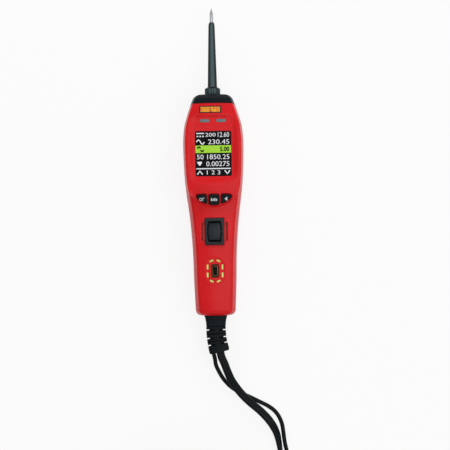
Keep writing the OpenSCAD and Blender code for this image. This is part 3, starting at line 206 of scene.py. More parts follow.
def plateRing(w, l, r, x=0.0, y=0.0, steps=6):  # outline of a plate with rounded corners
    corners = [(1, 1, 0), (-1, 1, 90), (-1, -1, 180), (1, -1, 270)]
    return [
        (x + cx * (w / 2 - r) + r * math.cos(math.radians(a + 90 * k / steps)),
         y + cy * (l / 2 - r) + r * math.sin(math.radians(a + 90 * k / steps)))
        for cx, cy, a in corners for k in range(steps + 1)]


def prism(name, outline, low, high):
    return ringLoft(name, [[(x, y, z) for x, y in outline] for z in (low, high)])


def plate(name, size, low, high):  # upright prism on a rounded plate (width, length, corner, x, y)
    return prism(name, plateRing(*size), low, high)


# Cords. The routes are the part's own, in millimetres.

cordPlan = {
    "twinWidth": 6.4, "twinThick": 3.4, "leadDiameter": 3.2, "groundDiameter": 3.3,
    "coilRadius": 57, "coilTurns": 16.25, "coilLayers": 4, "coilAt": (-13.5, -272), "coilPitch": 4.1,
    "coilRise": 6.9, "smallRadius": 18.5, "smallTurns": 6, "smallLayers": 2, "smallAt": (92, -262),
    "smallPitch": 3.8, "lift": 1.1, "reliefBend": 13, "reliefRoot": 8, "reliefFlare": 4.4,
    "reliefRibs": (5.4, 5.2, 6.2), "ringsPerTurn": 72,
}
tailEnd = -86.5
reliefMid = 13.0


def turnedBy(angle, x, y):
    c, s = math.cos(math.radians(angle)), math.sin(math.radians(angle))
    return np.array([x * c - y * s, x * s + y * c])


ribBend = cordPlan["reliefBend"] / 3
ribStarts = [np.array([0, tailEnd - cordPlan["reliefFlare"] - cordPlan["reliefRoot"]])]
for k, length in enumerate(cordPlan["reliefRibs"]):
    ribStarts.append(ribStarts[-1] + length * turnedBy(ribBend * (k + 1), 0, -1))
reliefEnd = ribStarts[-1]
reliefOut = turnedBy(cordPlan["reliefBend"], 0, -1)
reliefSide = turnedBy(cordPlan["reliefBend"], 1, 0)
mainStart = reliefEnd + reliefSide * 0.5
groundStart = reliefEnd - reliefSide * 4.9


def foldOf(x, n):
    k = math.floor(x / n)
    return x - k * n if k % 2 == 0 else n - x + k * n


def climbOf(x, n, layers):
    k = min(max(round(x / n), 1), layers - 1)
    d = (x - k * n) * 2
    if abs(d) < 0.5:
        return k - 0.5 + d
    return k - 1 if x < k * n else k


def coilPoints(at, low, outer, pitch, rise, turns, layers, spin, start, perTurn):
    points, inLayer = [], turns / layers
    for i in range(int(turns * perTurn) + 1):
        x = i / perTurn
        r = outer - pitch * foldOf(x, inLayer)
        a = math.radians(start + spin * 360 * x)
        points.append((at[0] + r * math.cos(a), at[1] + r * math.sin(a), low + rise * climbOf(x, inLayer, layers)))
    return points


coilOuter = cordPlan["coilRadius"] + cordPlan["coilPitch"] * cordPlan["coilTurns"] / 8
coilLow = cordPlan["lift"] + cordPlan["twinWidth"] / 2
coilHigh = coilLow + cordPlan["coilRise"] * 3
smallOuter = cordPlan["smallRadius"] + cordPlan["smallPitch"] * cordPlan["smallTurns"] / 4
smallLow = cordPlan["lift"] + cordPlan["groundDiameter"] / 2
smallHigh = smallLow + cordPlan["smallPitch"]
coilX, coilY = cordPlan["coilAt"]
smallX, smallY = cordPlan["smallAt"]
sleeveAt = (-84, -341.4)
splitHeight = 4.2

mainRoute = [(*(mainStart + reliefOut * d), reliefMid + 0.8) for d in (0, 4)] + [
    (6, -124, 13.4), (8.4, -130.6, 12.4), (11.2, -137.2, 11), (15.2, -143.6, 9.4), (20.2, -150, 7.8),
    (26.6, -156.4, 6.2), (33.6, -162.6, 4.6), (39.6, -169, 3.2), (44.2, -175.6, 2.6), (47, -182, 2.8),
    (48.2, -187.6, 3.2), (49.6, -197, 3.3), (50.8, -206, 3.2), (51.6, -216, 3.2), (51.8, -228, 3.2),
    (51.8, -240, 3.2), (51.8, -252, 3.5), (51.8, -261, 4), (coilX + coilOuter, coilY + 4, coilLow)]
mainRolls = [0] * 9 + [10, 25, 45, 62, 80] + [90] * 7
mainCoil = coilPoints(
    (coilX, coilY), coilLow, coilOuter, cordPlan["coilPitch"], cordPlan["coilRise"], cordPlan["coilTurns"],
    cordPlan["coilLayers"], -1, 0, cordPlan["ringsPerTurn"])
tailRoute = [
    (coilX - 4, coilY - coilOuter, coilHigh), (-27.5, -337.5, 25), (-37, -337.9, 24.2), (-45, -338.6, 21.2),
    (-53, -339.6, 16.4), (-61, -340.6, 11), (-68.6, -341.2, 6.8), (-75, -341.4, 4.8),
    (sleeveAt[0] + 4, sleeveAt[1], splitHeight), (*sleeveAt, splitHeight)]
tailRolls = [90, 90, 85, 70, 50, 30, 12, 0, 0, 0]


def alongRoute(points, rolls=None, step=1.2):  # smooth curve through all points, walked evenly
    p = np.array(points, float)
    t = np.concatenate([[0], np.cumsum(np.linalg.norm(np.diff(p, axis=0), axis=1))])
    gap = np.diff(t)[:, None]
    steep = np.diff(p, axis=0) / gap
    m = np.zeros_like(p)
    m[1:-1] = (steep[1:] * gap[:-1] + steep[:-1] * gap[1:]) / (gap[1:] + gap[:-1])
    m[0], m[-1] = steep[0], steep[-1]
    out, turn = [], []
    for i in range(len(p) - 1):
        h = t[i + 1] - t[i]
        n = max(1, round(h / step))
        for j in range(n + (i == len(p) - 2)):
            u = j / n
            out.append((2 * u**3 - 3 * u**2 + 1) * p[i] + (u**3 - 2 * u**2 + u) * h * m[i]
                       + (3 * u**2 - 2 * u**3) * p[i + 1] + (u**3 - u**2) * h * m[i + 1])
            if rolls is not None:
                turn.append(rolls[i] + (rolls[i + 1] - rolls[i]) * (3 * u**2 - 2 * u**3))
    return np.array(out), np.array(turn if rolls is not None else [0.0] * len(out))


def lengthOf(path):
    return float(np.linalg.norm(np.diff(path, axis=0), axis=1).sum()) * mm


def sweep(name, path, section, rolls=0.0):  # tube of any section along a path, with a UV map along and round it
    path = np.array(path, float)
    go = np.gradient(path, axis=0)
    go /= np.linalg.norm(go, axis=1)[:, None]
    side = np.cross(go, [0, 0, 1.0])
    side /= np.linalg.norm(side, axis=1)[:, None]
    up = np.cross(side, go)
    turn = np.radians(np.broadcast_to(rolls, len(path)))[:, None]
    a, b = side * np.cos(turn) + up * np.sin(turn), up * np.cos(turn) - side * np.sin(turn)
    rings = [[tuple(path[i] + a[i] * x + b[i] * y) for x, y in section] for i in range(len(path))]
    piece = ringLoft(name, rings)
    walked = np.concatenate([[0], np.cumsum(np.linalg.norm(np.diff(path, axis=0), axis=1))])
    n, layer = len(section), piece.data.uv_layers.new(name="along")
    uv = np.zeros((len(piece.data.loops), 2))
    at = 0
    for i in range(len(path) - 1):
        for j in range(n):
            left, right = j / n, (j + 1) / n
            uv[at:at + 4] = [(left, walked[i]), (right, walked[i]), (right, walked[i + 1]), (left, walked[i + 1])]
            at += 4
    layer.data.foreach_set("uv", uv.ravel())
    outward(piece)
    return smooth(piece, 60)


def twinSection(w, t, steps=7):  # two round lobes with a shallow valley between them
    r, points = t / 2, []
    for side in (1, -1):
        for k in range(steps + 1):
            a = math.radians(-118 + 236 * k / steps)
            points.append((side * (w / 2 - r) + side * r * math.cos(a), side * r * math.sin(a)))
    return points


def roundSection(d, sides=14):
    angles = [2 * math.pi * k / sides for k in range(sides)]
    return [(d / 2 * math.cos(a), d / 2 * math.sin(a)) for a in angles]


startPath, startRolls = alongRoute(mainRoute + [mainCoil[0]], mainRolls[:21] + [90])
endPath, endRolls = alongRoute([mainCoil[-1]] + tailRoute, [90] + tailRolls)
twinPath = np.concatenate([startPath[:-1], np.array(mainCoil), endPath[1:]])
twinRolls = np.concatenate([startRolls[:-1], np.full(len(mainCoil), 90.0), endRolls[1:]])
twinCord = sweep("twinCord", twinPath, twinSection(cordPlan["twinWidth"], cordPlan["twinThick"]), twinRolls)
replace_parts(twinCord, "main_cord", "main_coil", "coil_tail")

redPath, _ = alongRoute([
    (-102, -343.7, 4.2), (-106, -343.7, 4.2), (-113, -344.4, 2.8), (-122, -344.4, 2), (-131, -343, 2),
    (-139.4, -339, 2), (-146, -333.4, 2.2), (-150.4, -327, 3.4), (-151.9, -321.4, 6), (-152.1, -316, 8.2),
    (-152.1, -312, 8.2)])
blackPath, _ = alongRoute([
    (-102, -339.1, 4.2), (-106, -339.1, 4.2), (-109.8, -338, 3), (-112.6, -334.6, 2.2), (-113.8, -329.6, 2.8),
    (-114.1, -323.6, 5.6), (-114.1, -316, 8.2), (-114.1, -312, 8.2)])
redLead = sweep("redLead", redPath, roundSection(cordPlan["leadDiameter"]))
blackLead = sweep("blackLead", blackPath, roundSection(cordPlan["leadDiameter"]))
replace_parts(redLead, "red_lead")
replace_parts(blackLead, "black_lead")

groundRoute = [(*(groundStart + reliefOut * d), reliefMid - 1.2) for d in (0, 4)] + [
    (-0.6, -125.4, 9.6), (2, -131.6, 7), (5.8, -138, 4.2), (11.4, -144, 2.4), (18.6, -148.6, 1.8),
    (26.6, -152.4, 1.7), (33.7, -156, 1.7), (39.9, -159.2, 1.7), (44.6, -162.6, 1.7), (48.4, -167.4, 1.7),
    (50.9, -173.4, 1.7), (52, -180, 1.7), (52.8, -187, 1.7), (55, -197, 1.7), (58.4, -208, 1.7),
    (61.4, -221, 1.7), (62.6, -236, 1.7), (62.4, -252, 1.7), (63.6, -266, 1.7), (67.6, -277, 2.2),
    (75, -284.2, 2.6), (smallX - 4, smallY - smallOuter, smallLow)]
groundCoil = coilPoints(
    (smallX, smallY), smallLow, smallOuter, cordPlan["smallPitch"], cordPlan["smallPitch"], cordPlan["smallTurns"],
    cordPlan["smallLayers"], 1, -90, 48)
groundEnd = [
    (smallX + 4, smallY - smallOuter, smallHigh), (102.6, -285.6, 5.6), (110.4, -283.4, 4.2), (118, -279.4, 2.6),
    (125.4, -273.4, 1.8), (131.6, -266.6, 2), (135.8, -260.6, 3.4), (137.1, -257.6, 4.9), (137.1, -253.6, 4.9)]
firstPath, _ = alongRoute(groundRoute + [groundCoil[0]])
lastPath, _ = alongRoute([groundCoil[-1]] + groundEnd)
groundPath = np.concatenate([firstPath[:-1], np.array(groundCoil), lastPath[1:]])
groundLead = sweep("groundLead", groundPath, roundSection(cordPlan["groundDiameter"]))
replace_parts(groundLead, "aux_cord", "aux_coil", "aux_tail")
for piece in (twinCord, redLead, blackLead, groundLead):
    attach(piece, "tester")
say("cords, " + ", ".join(f"{lengthOf(p):.3f} m" for p in (twinPath, redPath, blackPath, groundPath)))


# Finishes

class Link:  # a socket that sums and products can be written with
    def __init__(self, finish, socket):
        self.finish, self.socket = finish, socket

    def reckon(self, operation, *terms):
        return self.finish.node("ShaderNodeMath", {"operation": operation}, *terms)

    def __add__(self, other): return self.reckon("ADD", self, other)
    def __radd__(self, other): return self.reckon("ADD", other, self)
    def __sub__(self, other): return self.reckon("SUBTRACT", self, other)
    def __rsub__(self, other): return self.reckon("SUBTRACT", other, self)
    def __mul__(self, other): return self.reckon("MULTIPLY", self, other)
    def __rmul__(self, other): return self.reckon("MULTIPLY", other, self)

    def limited(self, low, high, start=0.0, end=1.0):
        return self.finish.node("ShaderNodeMapRange", {}, self, low, high, start, end)


def linear(colour):  # 0 to 255 as seen, to what the shader takes
    return tuple((c / 255 / 12.92) if c <= 10 else ((c / 255 + 0.055) / 1.055) ** 2.4 for c in colour) + (1.0,)


class Finish:
    def __init__(self, name, **constants):
        self.material = bpy.data.materials.new(name)
        self.material.use_nodes = True
        self.tree = self.material.node_tree
        self.shader = next(n for n in self.tree.nodes if n.type == "BSDF_PRINCIPLED")
        for key, value in constants.items():
            self.shader.inputs[key.replace("_", " ")].default_value = value
        self.place = Link(self, self.tree.nodes.new("ShaderNodeTexCoord").outputs["Object"])

    def node(self, kind, settings, *values, out=0, **named):
        made = self.tree.nodes.new(kind)
        for key, value in settings.items():
            setattr(made, key, value)
        for key, value in list(enumerate(values)) + [(k.replace("_", " "), v) for k, v in named.items()]:
            if isinstance(value, Link):
                self.tree.links.new(value.socket, made.inputs[key])
            elif value is not None:
                made.inputs[key].default_value = value
        return Link(self, made.outputs[out])

    def noise(self, scale, detail=2.0, roughness=0.5, place=None):
        return self.node(
            "ShaderNodeTexNoise", {}, Vector=place or self.place, Scale=scale, Detail=detail, Roughness=roughness)

    def stretched(self, x, y, z, turn=(0, 0, 0)):
        return self.node("ShaderNodeMapping", {}, self.place, None, turn, (x, y, z))

    def mixColour(self, share, a, b):
        made = self.tree.nodes.new("ShaderNodeMix")
        made.data_type = "RGBA"
        for socket, value in ((made.inputs[0], share), (made.inputs[6], a), (made.inputs[7], b)):
            if isinstance(value, Link):
                self.tree.links.new(value.socket, socket)
            else:
                socket.default_value = value
        return Link(self, made.outputs[2])

    def feed(self, **links):
        for key, link in links.items():
            self.tree.links.new(link.socket, self.shader.inputs[key.replace("_", " ")])
        return self

    def bumped(self, *heights):  # (height, depth in metres) pairs, one on the other
        normal = None
        for height, depth in heights:
            made = self.tree.nodes.new("ShaderNodeBump")
            made.inputs["Distance"].default_value = depth
            self.tree.links.new(height.socket, made.inputs["Height"])
            if normal:
                self.tree.links.new(normal.socket, made.inputs["Normal"])
            normal = Link(self, made.outputs["Normal"])
        return self.feed(Normal=normal)

    def beside(self, kind, share, level=1.0):  # lets a plain shader of one brightness take a share
        own, other = Link(self, self.shader.outputs[0]), self.node(kind, {}, (level, level, level, 1))
        both = self.node("ShaderNodeMixShader", {}, share, own, other)
        output = next(n for n in self.tree.nodes if n.type == "OUTPUT_MATERIAL")
        self.tree.links.new(both.socket, output.inputs["Surface"])


def mouldedPlastic(name, colour, shade, roughness, grain=2600, depth=0.00003, gloss=0.3):
    made = Finish(name, Specular_IOR_Level=gloss)
    clouds = made.noise(38, 3)
    grit = made.noise(grain, 2, 0.6)
    lines = made.noise(1.0, 2, 0.5, made.stretched(2400, 60, 2400, (0, 0, 0.5)))
    worn = lines.limited(0.66, 0.78) * clouds.limited(0.45, 0.7)
    made.feed(
        Base_Color=made.mixColour(clouds.limited(0.3, 0.75), linear(colour), linear(shade)),
        Roughness=roughness + (grit - 0.5) * 0.1 + (clouds - 0.5) * 0.1 + worn * 0.1)
    return made.bumped((grit, depth), (worn, 0.000006))


def rubber(name, colour, shade, roughness, grain, depth, gloss=0.2):
    made = Finish(name, Specular_IOR_Level=gloss)
    clouds, grit = made.noise(60, 3), made.noise(grain, 3, 0.65)
    dust = made.noise(420, 2).limited(0.62, 0.8)
    made.feed(
        Base_Color=made.mixColour(clouds.limited(0.35, 0.7) + dust * 0.15, linear(colour), linear(shade)),
        Roughness=roughness + (clouds - 0.5) * 0.16 + (grit - 0.5) * 0.1)
    return made.bumped((grit, depth))


def metal(name, colour, shade, roughness=0.24, brush=(300, 9000, 9000), depth=0.000008):
    made = Finish(name, Metallic=1.0)
    strokes, clouds = made.noise(1.0, 3, 0.6, made.stretched(*brush)), made.noise(140, 3)
    made.feed(
        Base_Color=made.mixColour(clouds.limited(0.35, 0.75), linear(colour), linear(shade)),
        Roughness=roughness + (strokes - 0.5) * 0.16 + (clouds - 0.5) * 0.12)
    return made.bumped((strokes, depth))


redPlastic = mouldedPlastic("redPlastic", (226, 16, 25), (212, 12, 20), 0.34, 2300, 0.000035, 0.24)
blackPlastic = mouldedPlastic("blackPlastic", (12, 23, 27), (9, 18, 21), 0.45, 2100, 0.00005, 0.12)
switchPlastic = mouldedPlastic("switchPlastic", (18, 31, 36), (13, 24, 29), 0.4, 3000, 0.000025)
keyRubber = rubber("keyRubber", (13, 18, 20), (9, 13, 15), 0.42, 2600, 0.00002, 0.12)
sleeveRubber = rubber("sleeveRubber", (20, 26, 29), (14, 19, 22), 0.4, 2200, 0.00003)
reliefRubber = rubber("reliefRubber", (13, 22, 26), (9, 16, 19), 0.46, 1700, 0.00005, 0.12)
strapCloth = rubber("strapCloth", (26, 26, 28), (18, 18, 20), 0.8, 5200, 0.00012)
polishedSteel = metal("polishedSteel", (214, 216, 220), (190, 193, 198), 0.16)
platedSteel = metal("platedSteel", (196, 198, 202), (168, 171, 176), 0.28, (5000, 400, 5000), 0.00001)
brassFinish = metal("brassFinish", (206, 170, 98), (170, 132, 70), 0.3)
redVinyl = mouldedPlastic("redVinyl", (205, 26, 32), (186, 20, 27), 0.4, 1500, 0.00004)
blackVinyl = mouldedPlastic("blackVinyl", (28, 30, 33), (22, 24, 26), 0.4, 1500, 0.00004)

# Painted highlight: the sleeve's base colour, collar flutes included, is paled where the surface faces the eye, a
# sheen painted into the colour
facing = sleeveRubber.node("ShaderNodeLayerWeight", {}, 0.5, out=1)
sleeveTone = Link(sleeveRubber, sleeveRubber.shader.inputs["Base Color"].links[0].from_socket)
sleeveRubber.feed(Base_Color=sleeveRubber.mixColour(
    facing.limited(0.03, 0.26, 0.75, 0.0), sleeveTone, linear((86, 106, 109))))


def cordFinish(name, colour, shade, gloss):  # extruded sheath: fine lines along it and slight waves
    made = Finish(name, Specular_IOR_Level=gloss)
    uv = made.node("ShaderNodeUVMap", {"uv_map": "along"})
    lines = made.noise(1.0, 2, 0.5, made.node("ShaderNodeMapping", {}, uv, None, None, (38, 0.05, 1)))
    waves = made.noise(1.0, 2, 0.5, made.node("ShaderNodeMapping", {}, uv, None, None, (2, 0.9, 1)))
    grit = made.noise(2400, 2, 0.6)
    made.feed(
        Base_Color=made.mixColour(waves.limited(0.3, 0.7), linear(colour), linear(shade)),
        Roughness=0.4 + (lines - 0.5) * 0.2 + (waves - 0.5) * 0.12)
    return made.bumped((lines, 0.00004), (grit, 0.00002))


blackSheath = cordFinish("blackSheath", (8, 16, 19), (6, 12, 14), 0.14)
redSheath = cordFinish("redSheath", (196, 26, 32), (180, 20, 27), 0.32)


slotOf = {part["node"]: part["material_slot"] for part in frame["record"]["subparts"]}


def finished(piece, finish):
    piece.data.materials.clear()
    piece.data.materials.append(finish.material)
    return piece


def standsFor(piece, node):  # rides where the CAD node does, and hides that node
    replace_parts(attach(piece, frame["nodes"][node]["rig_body"]), node)
    return piece


for piece in (twinCord, blackLead, groundLead):
    finished(piece, blackSheath)
finished(redLead, redSheath)
say("finishes")


# Housing. Lengths in millimetres, shares along it from the tail to the nose.

housing = {
    "length": 173, "headWidth": 47.5, "headDepth": 34, "seam": 13, "wall": 2.2, "lip": 1.3, "crown": 1.2,
    "tailRound": 4.6, "noseRound": 3.5, "lean": 2.2, "cornerRound": 3.4, "backRound": 9, "raisedIn": 1.76,
    "raisedRound": 1.0, "lipShare": 0.612, "lipIn": 1.7, "noseSeamY": 79.3, "noseLean": 10,
    "widths": [(0, 0.657), (0.05, 0.67), (0.16, 0.703), (0.27, 0.722), (0.39, 0.775), (0.47, 0.834), (0.55, 0.911),
               (0.62, 0.962), (0.7, 0.99), (0.78, 1), (0.85, 0.962), (0.91, 0.848), (0.965, 0.71), (1, 0.606)],
    "faces": [(0, 0.77), (0.08, 0.8), (0.25, 0.818), (0.42, 0.838), (0.5, 0.875), (0.6, 0.955), (0.72, 1),
              (0.84, 0.985), (0.92, 0.945), (1, 0.85)],
    "backs": [(0, 0.03), (0.06, 0), (0.8, 0), (0.9, 0.03), (1, 0.12)],
}


def smoothShare(table, s):  # monotone curve through a table, the part's own
    x, v = np.array(table, float).T
    secant = np.diff(v) / np.diff(x)
    product = secant[:-1] * secant[1:]
    total = secant[:-1] + secant[1:]
    inner = np.where(product <= 0, 0, 2 * product / np.where(total == 0, 1, total))
    slope = np.concatenate([[secant[0]], inner, [secant[-1]]])
    s = np.asarray(s, float)
    i = np.clip(np.searchsorted(x, s, side="right") - 1, 0, len(x) - 2)
    h = x[i + 1] - x[i]
    u = (s - x[i]) / h
    return (v[i] + (v[i + 1] - v[i]) * u * u * (3 - 2 * u) + h * slope[i] * u * (1 - u) ** 2
            - h * slope[i + 1] * u * u * (1 - u))


def roundIn(d, r):
    d = np.clip(d, 0, r)
    return r - np.sqrt(np.maximum(r * r - (r - d) ** 2, 0))


def endIn(y):
    return np.maximum(roundIn(y - tailEnd, housing["tailRound"]), roundIn(-tailEnd - y, housing["noseRound"]))


def shareAt(y):
    return (np.asarray(y, float) - tailEnd) / housing["length"]


def halfWidth(y):
    return housing["headWidth"] / 2 * smoothShare(housing["widths"], shareAt(y)) - endIn(y)


def faceHeight(y):
    return (housing["headDepth"] - housing["lip"]) * smoothShare(housing["faces"], shareAt(y)) - endIn(y)


def backHeight(y):
    return housing["headDepth"] * smoothShare(housing["backs"], shareAt(y)) + endIn(y)


def plateReach(x, y, w, l, r, cx=0.0, cy=0.0):  # distance outside a plate's outline, negative inside
    qx, qy = np.abs(x - cx) - w / 2 + r, np.abs(y - cy) - l / 2 + r
    return np.hypot(np.maximum(qx, 0), np.maximum(qy, 0)) + np.minimum(np.maximum(qx, qy), 0) - r


def ease(t):
    t = np.clip(t, 0, 1)
    return t * t * (3 - 2 * t)


lipY = tailEnd + housing["lipShare"] * housing["length"]
lipRadius = float(halfWidth(lipY)) - housing["lipIn"]
dish = {  # plates are (width, length, corner, x, y)
    "floor": 31.4, "floorPlate": (30.4, 46, 3, 0, 45), "rimPlate": (39.6, 54.6, 7, 0, 43.2),
    "bedPlate": (29, 6.4, 3.2, 0, 65.6), "bedDeep": 0.15, "window": (28, 35, 1.2, 0, 40),
    "lensX": (-6.4, 6.4), "lensY": 65.6,
}
keys = {
    "length": 8.3, "middle": 4.25, "step": 9.75, "width": 7.9, "sideWidth": 8.2, "arcGap": 1.9,
    "sideRound": 2.6, "round": 0.9, "play": 0.25, "flange": 24.224, "height": 32.208,
}
rocker = {
    "y": -20.6, "seat": 26.375, "bezel": (15, 21), "bezelThick": 1.8, "case": (13, 18.8),
    "pocket": (20.3, 14.6), "pocketDeep": 1.1, "slitX": (-9.72, 9.72), "pivot": 24.875, "caseFloor": 13.775,
    "paddle": (10.4, 15.4), "dip": 1.5,
}
port = {
    "y": -51.4, "face": 26.6, "opening": (6, 10.8, 1.9), "step": (15.4, 20.8, 7.4), "ring": (11.6, 16.6),
    "slot": (1.4, 4), "slotAt": 3.1, "endTurn": 27, "endHalf": 15,
}


def keyReach(i, x, y):
    width = keys["width"] if i == 0 else keys["sideWidth"]
    plate = plateReach(x, y, width, keys["length"], 1.2, i * keys["step"], keys["middle"])
    return np.maximum(plate, np.hypot(x, y - lipY) - (lipRadius - keys["arcGap"]))


def slotReach(x, y):
    w, l = port["ring"]
    return np.abs(plateReach(x, y, w, l, w / 2, 0, port["y"])) - port["slot"][0] / 2


def dipAt(reach, depth, width):  # soft moulded edge round an opening
    return depth * np.clip(1 - np.maximum(reach, -0.4) / width, 0, 1.6) ** 2


def carved(x, y, z):  # face height with the dish, the groove round the lenses and the soft edges
    floor = np.maximum(plateReach(x, y, *dish["floorPlate"]), 0)
    rim = np.maximum(-plateReach(x, y, *dish["rimPlate"]), 0)
    t = np.where(rim <= 0, 1, floor / np.maximum(floor + rim, 1e-9))
    z = np.where(rim > 0, dish["floor"] + (z - dish["floor"]) * (0.25 * t + 0.75 * ease(t)), z)
    bed = plateReach(x, y, *dish["bedPlate"])
    z = z - dish["bedDeep"] * ease(-bed / 0.7 + 0.3)
    z = z - dipAt(plateReach(x, y, *dish["window"]), 0.12, 0.6)
    for i in (-1, 0, 1):
        z = z - dipAt(keyReach(i, x, y), 0.22, 0.7)
    rim = lipRadius - 0.45 - np.hypot(x, y - lipY)  # thin bead on the lip under the keys
    z = z + 0.35 * np.exp(-(rim / 0.45) ** 2) * (y < lipY - 6)
    pocket = plateReach(x, y, *rocker["pocket"], 0.3, 0, rocker["y"])
    bezel = plateReach(x, y, *rocker["bezel"], 0.3, 0, rocker["y"])
    z = z - dipAt(np.minimum(pocket, bezel), 0.2, 0.8)
    step = plateReach(x, y, *port["step"], 0, port["y"])
    z = z - 0.3 * ease(-step / 0.6 + 0.5) + 0.08 * np.exp(-((step - 0.5) / 0.5) ** 2)
    z = z - dipAt(plateReach(x, y, *port["opening"], 0, port["y"]), 0.25, 0.7)
    z = z - dipAt(slotReach(x, y), 0.1, 0.4)
    return z


def faceSections(rows, wallSteps=8, cornerSteps=12, topSteps=54, inset=0.0, low=None, raised=True, chamfer=0.3):
    w, top = halfWidth(rows)[:, None] - inset, faceHeight(rows)[:, None] - inset
    low = housing["seam"] if low is None else low
    lean, round_, crown = housing["lean"], max(housing["cornerRound"] - inset, 0.3), housing["crown"]
    y = rows[:, None]
    q = np.linspace(0, 1, wallSteps + 1)[None, :-1]
    bulge = 0.12 * q + 0.88 * q * q
    a = np.radians(np.linspace(0, 90, cornerSteps))[None, :]
    base = top - crown - round_
    xs = [w - lean * bulge, w - lean - round_ + round_ * np.cos(a)]
    zs = [low + (base - low) * q, base + round_ * np.sin(a)]
    inner = w - lean - round_
    edge = w - housing["raisedIn"] - housing["raisedRound"]
    arc = cornerSteps - 4
    ar = np.radians(np.linspace(0, 90, arc))[None, :]
    flat = edge + (inner - edge) * np.linspace(0.25, 1, 4)[None, :]
    high = top + housing["lip"]
    rise = high - crown - housing["raisedRound"]
    xr = [w - housing["raisedIn"] * bulge, edge + housing["raisedRound"] * np.cos(ar), flat]
    zr = [low + (rise - low) * q, rise + housing["raisedRound"] * np.sin(ar), high - crown * (flat / edge) ** 2]
    k = np.linspace(1, 0, topSteps + 1)[None, 1:]
    xs.append(inner * k), zs.append(top - crown * k * k)
    xr.append(inner * k), zr.append(high - crown * (inner * k / edge) ** 2)
    xb, zb, xr, zr = (np.concatenate(v, axis=1) for v in (xs, zs, xr, zr))
    if raised:
        probe = np.minimum(xb, 20.0)
        reach = np.where(y > lipY, 1.0, lipRadius - np.hypot(probe, y - lipY))
        share = ease((reach + 0.15) / 0.75)
        x, z = xb + (xr - xb) * share, zb + (zr - zb) * share
        z[:, wallSteps + 8:] = carved(x, y, z)[:, wallSteps + 8:]
    else:
        x, z = xb, zb
    if chamfer:
        x = np.concatenate([x[:, :1] - chamfer, x], axis=1)
        z = np.concatenate([np.full_like(z[:, :1], low), z], axis=1)
        z[:, 1] = low + chamfer
    return x, z


def backSections(rows, cornerSteps=14, flatSteps=8, inset=0.0, top=None, chamfer=0.3):
    w, low = halfWidth(rows)[:, None] - inset, backHeight(rows)[:, None] + inset
    top = housing["seam"] if top is None else top
    r = housing["backRound"] - inset
    a = np.radians(np.linspace(0, 90, cornerSteps))[None, :]
    x = np.concatenate([w - r + r * np.cos(a), (w - r) * np.linspace(1, 0, flatSteps + 1)[None, 1:]], axis=1)
    z = np.concatenate([top - (top - low) * np.sin(a), np.repeat(low, flatSteps, axis=1)], axis=1)
    if chamfer:
        x = np.concatenate([x[:, :1] - chamfer, x], axis=1)
        z = np.concatenate([np.full_like(z[:, :1], top), z], axis=1)
        z[:, 1] = top - chamfer
    return x, z


def bothSides(rows, x, z):  # whole rings from the right half, right to left
    y = np.repeat(rows[:, None], x.shape[1] * 2 - 1, axis=1)
    full = np.concatenate([x, -x[:, -2::-1]], axis=1)
    high = np.concatenate([z, z[:, -2::-1]], axis=1)
    return np.stack([full, y, high], axis=2)


def rowsOf(*stretches):
    parts = [np.linspace(a, b, max(2, round((b - a) / step) + 1))[:-1] for a, b, step in stretches]
    return np.concatenate(parts + [[stretches[-1][1]]])


def gridSolid(name, rings):
    piece = ringLoft(name, rings.tolist())
    return outward(piece, 1e-7)


def noseBox(name, shift):
    tool = block(name, (-60, 0, -90), (60, 60, 60))
    high = float(faceHeight(housing["noseSeamY"])) + housing["lip"]
    tool.data.transform(Matrix.Translation((0, (housing["noseSeamY"] + shift) * mm, high * mm))
                        @ Matrix.Rotation(math.radians(-housing["noseLean"]), 4, "X"))
    return tool


screws = [(15.2, 63.4), (-15.2, 63.4), (9, -72.4), (-9, -72.4)]

frontRows = rowsOf(
    (tailEnd, -80, 0.35), (-80, -63.5, 0.5), (-63.5, -39.5, 0.3), (-39.5, -33, 0.5), (-33, -8.5, 0.32),
    (-8.5, -4, 0.45), (-4, 22.5, 0.24), (22.5, 60, 0.5), (60, 81.5, 0.32))
front = gridSolid("frontCover", bothSides(frontRows, *faceSections(frontRows)))
cavityRows = np.linspace(tailEnd + 2.2, -tailEnd - 2.2, 60)
cavity = gridSolid("cavity", bothSides(cavityRows, *faceSections(
    cavityRows, 4, 5, 8, inset=housing["wall"], low=housing["seam"] - 1, raised=False, chamfer=0)))
middle = dish["window"][4]
cut(cavity, block("windowPad", (-16.4, middle - 19.9, 29.1), (16.4, middle + 19.9, 33)))
cut(cavity, block(
    "keyPad", (-15.55, keys["middle"] - 5.85, keys["flange"] + 1), (15.55, keys["middle"] + 5.85, 33)))
for x, y in screws:
    cut(cavity, rod("boss", (x, y, 10), (x, y, 34), 3.2))
cut(front, cavity)


def keyBody(name, i, grow, low, high):  # rounded key outline, cut to the arc of the lip
    width = keys["sideWidth"] if i else keys["width"]
    raised, corner = (0.4, 1.3) if i else (0, keys["round"])
    x, y = i * keys["step"], keys["middle"]
    halfX, halfY = width / 2 + grow, keys["length"] / 2 + grow
    body = block(name, (x - halfX, y - halfY + raised, low), (x + halfX, y + halfY, high))
    mesh = edit(body, "EDGE")
    outer = x + i * width / 2

    def upright(e):
        a, b = (v.co / mm for v in e.verts)
        return abs(a.z - b.z) > 1 and (i == 0 or abs(a.x - outer) > 1)
    chosen(body, mesh, upright, "edges")
    bpy.ops.mesh.bevel(offset=(corner + grow) * mm, segments=5)
    bpy.ops.mesh.select_all(action="DESELECT")
    mesh = bmesh.from_edit_mesh(body.data)
    if i:
        chosen(body, mesh, lambda e: abs(e.verts[0].co.z - e.verts[1].co.z) > mm
               and all(abs(v.co.x / mm - outer) < 0.6 for v in e.verts), "edges")
        bpy.ops.mesh.bevel(offset=(keys["sideRound"] + grow) * mm, segments=8)
    leave(body)
    arc = rod("arc", (0, lipY, low - 1), (0, lipY, high + 1), lipRadius - keys["arcGap"] + grow, sides=180)
    return cut(body, arc, "INTERSECT")


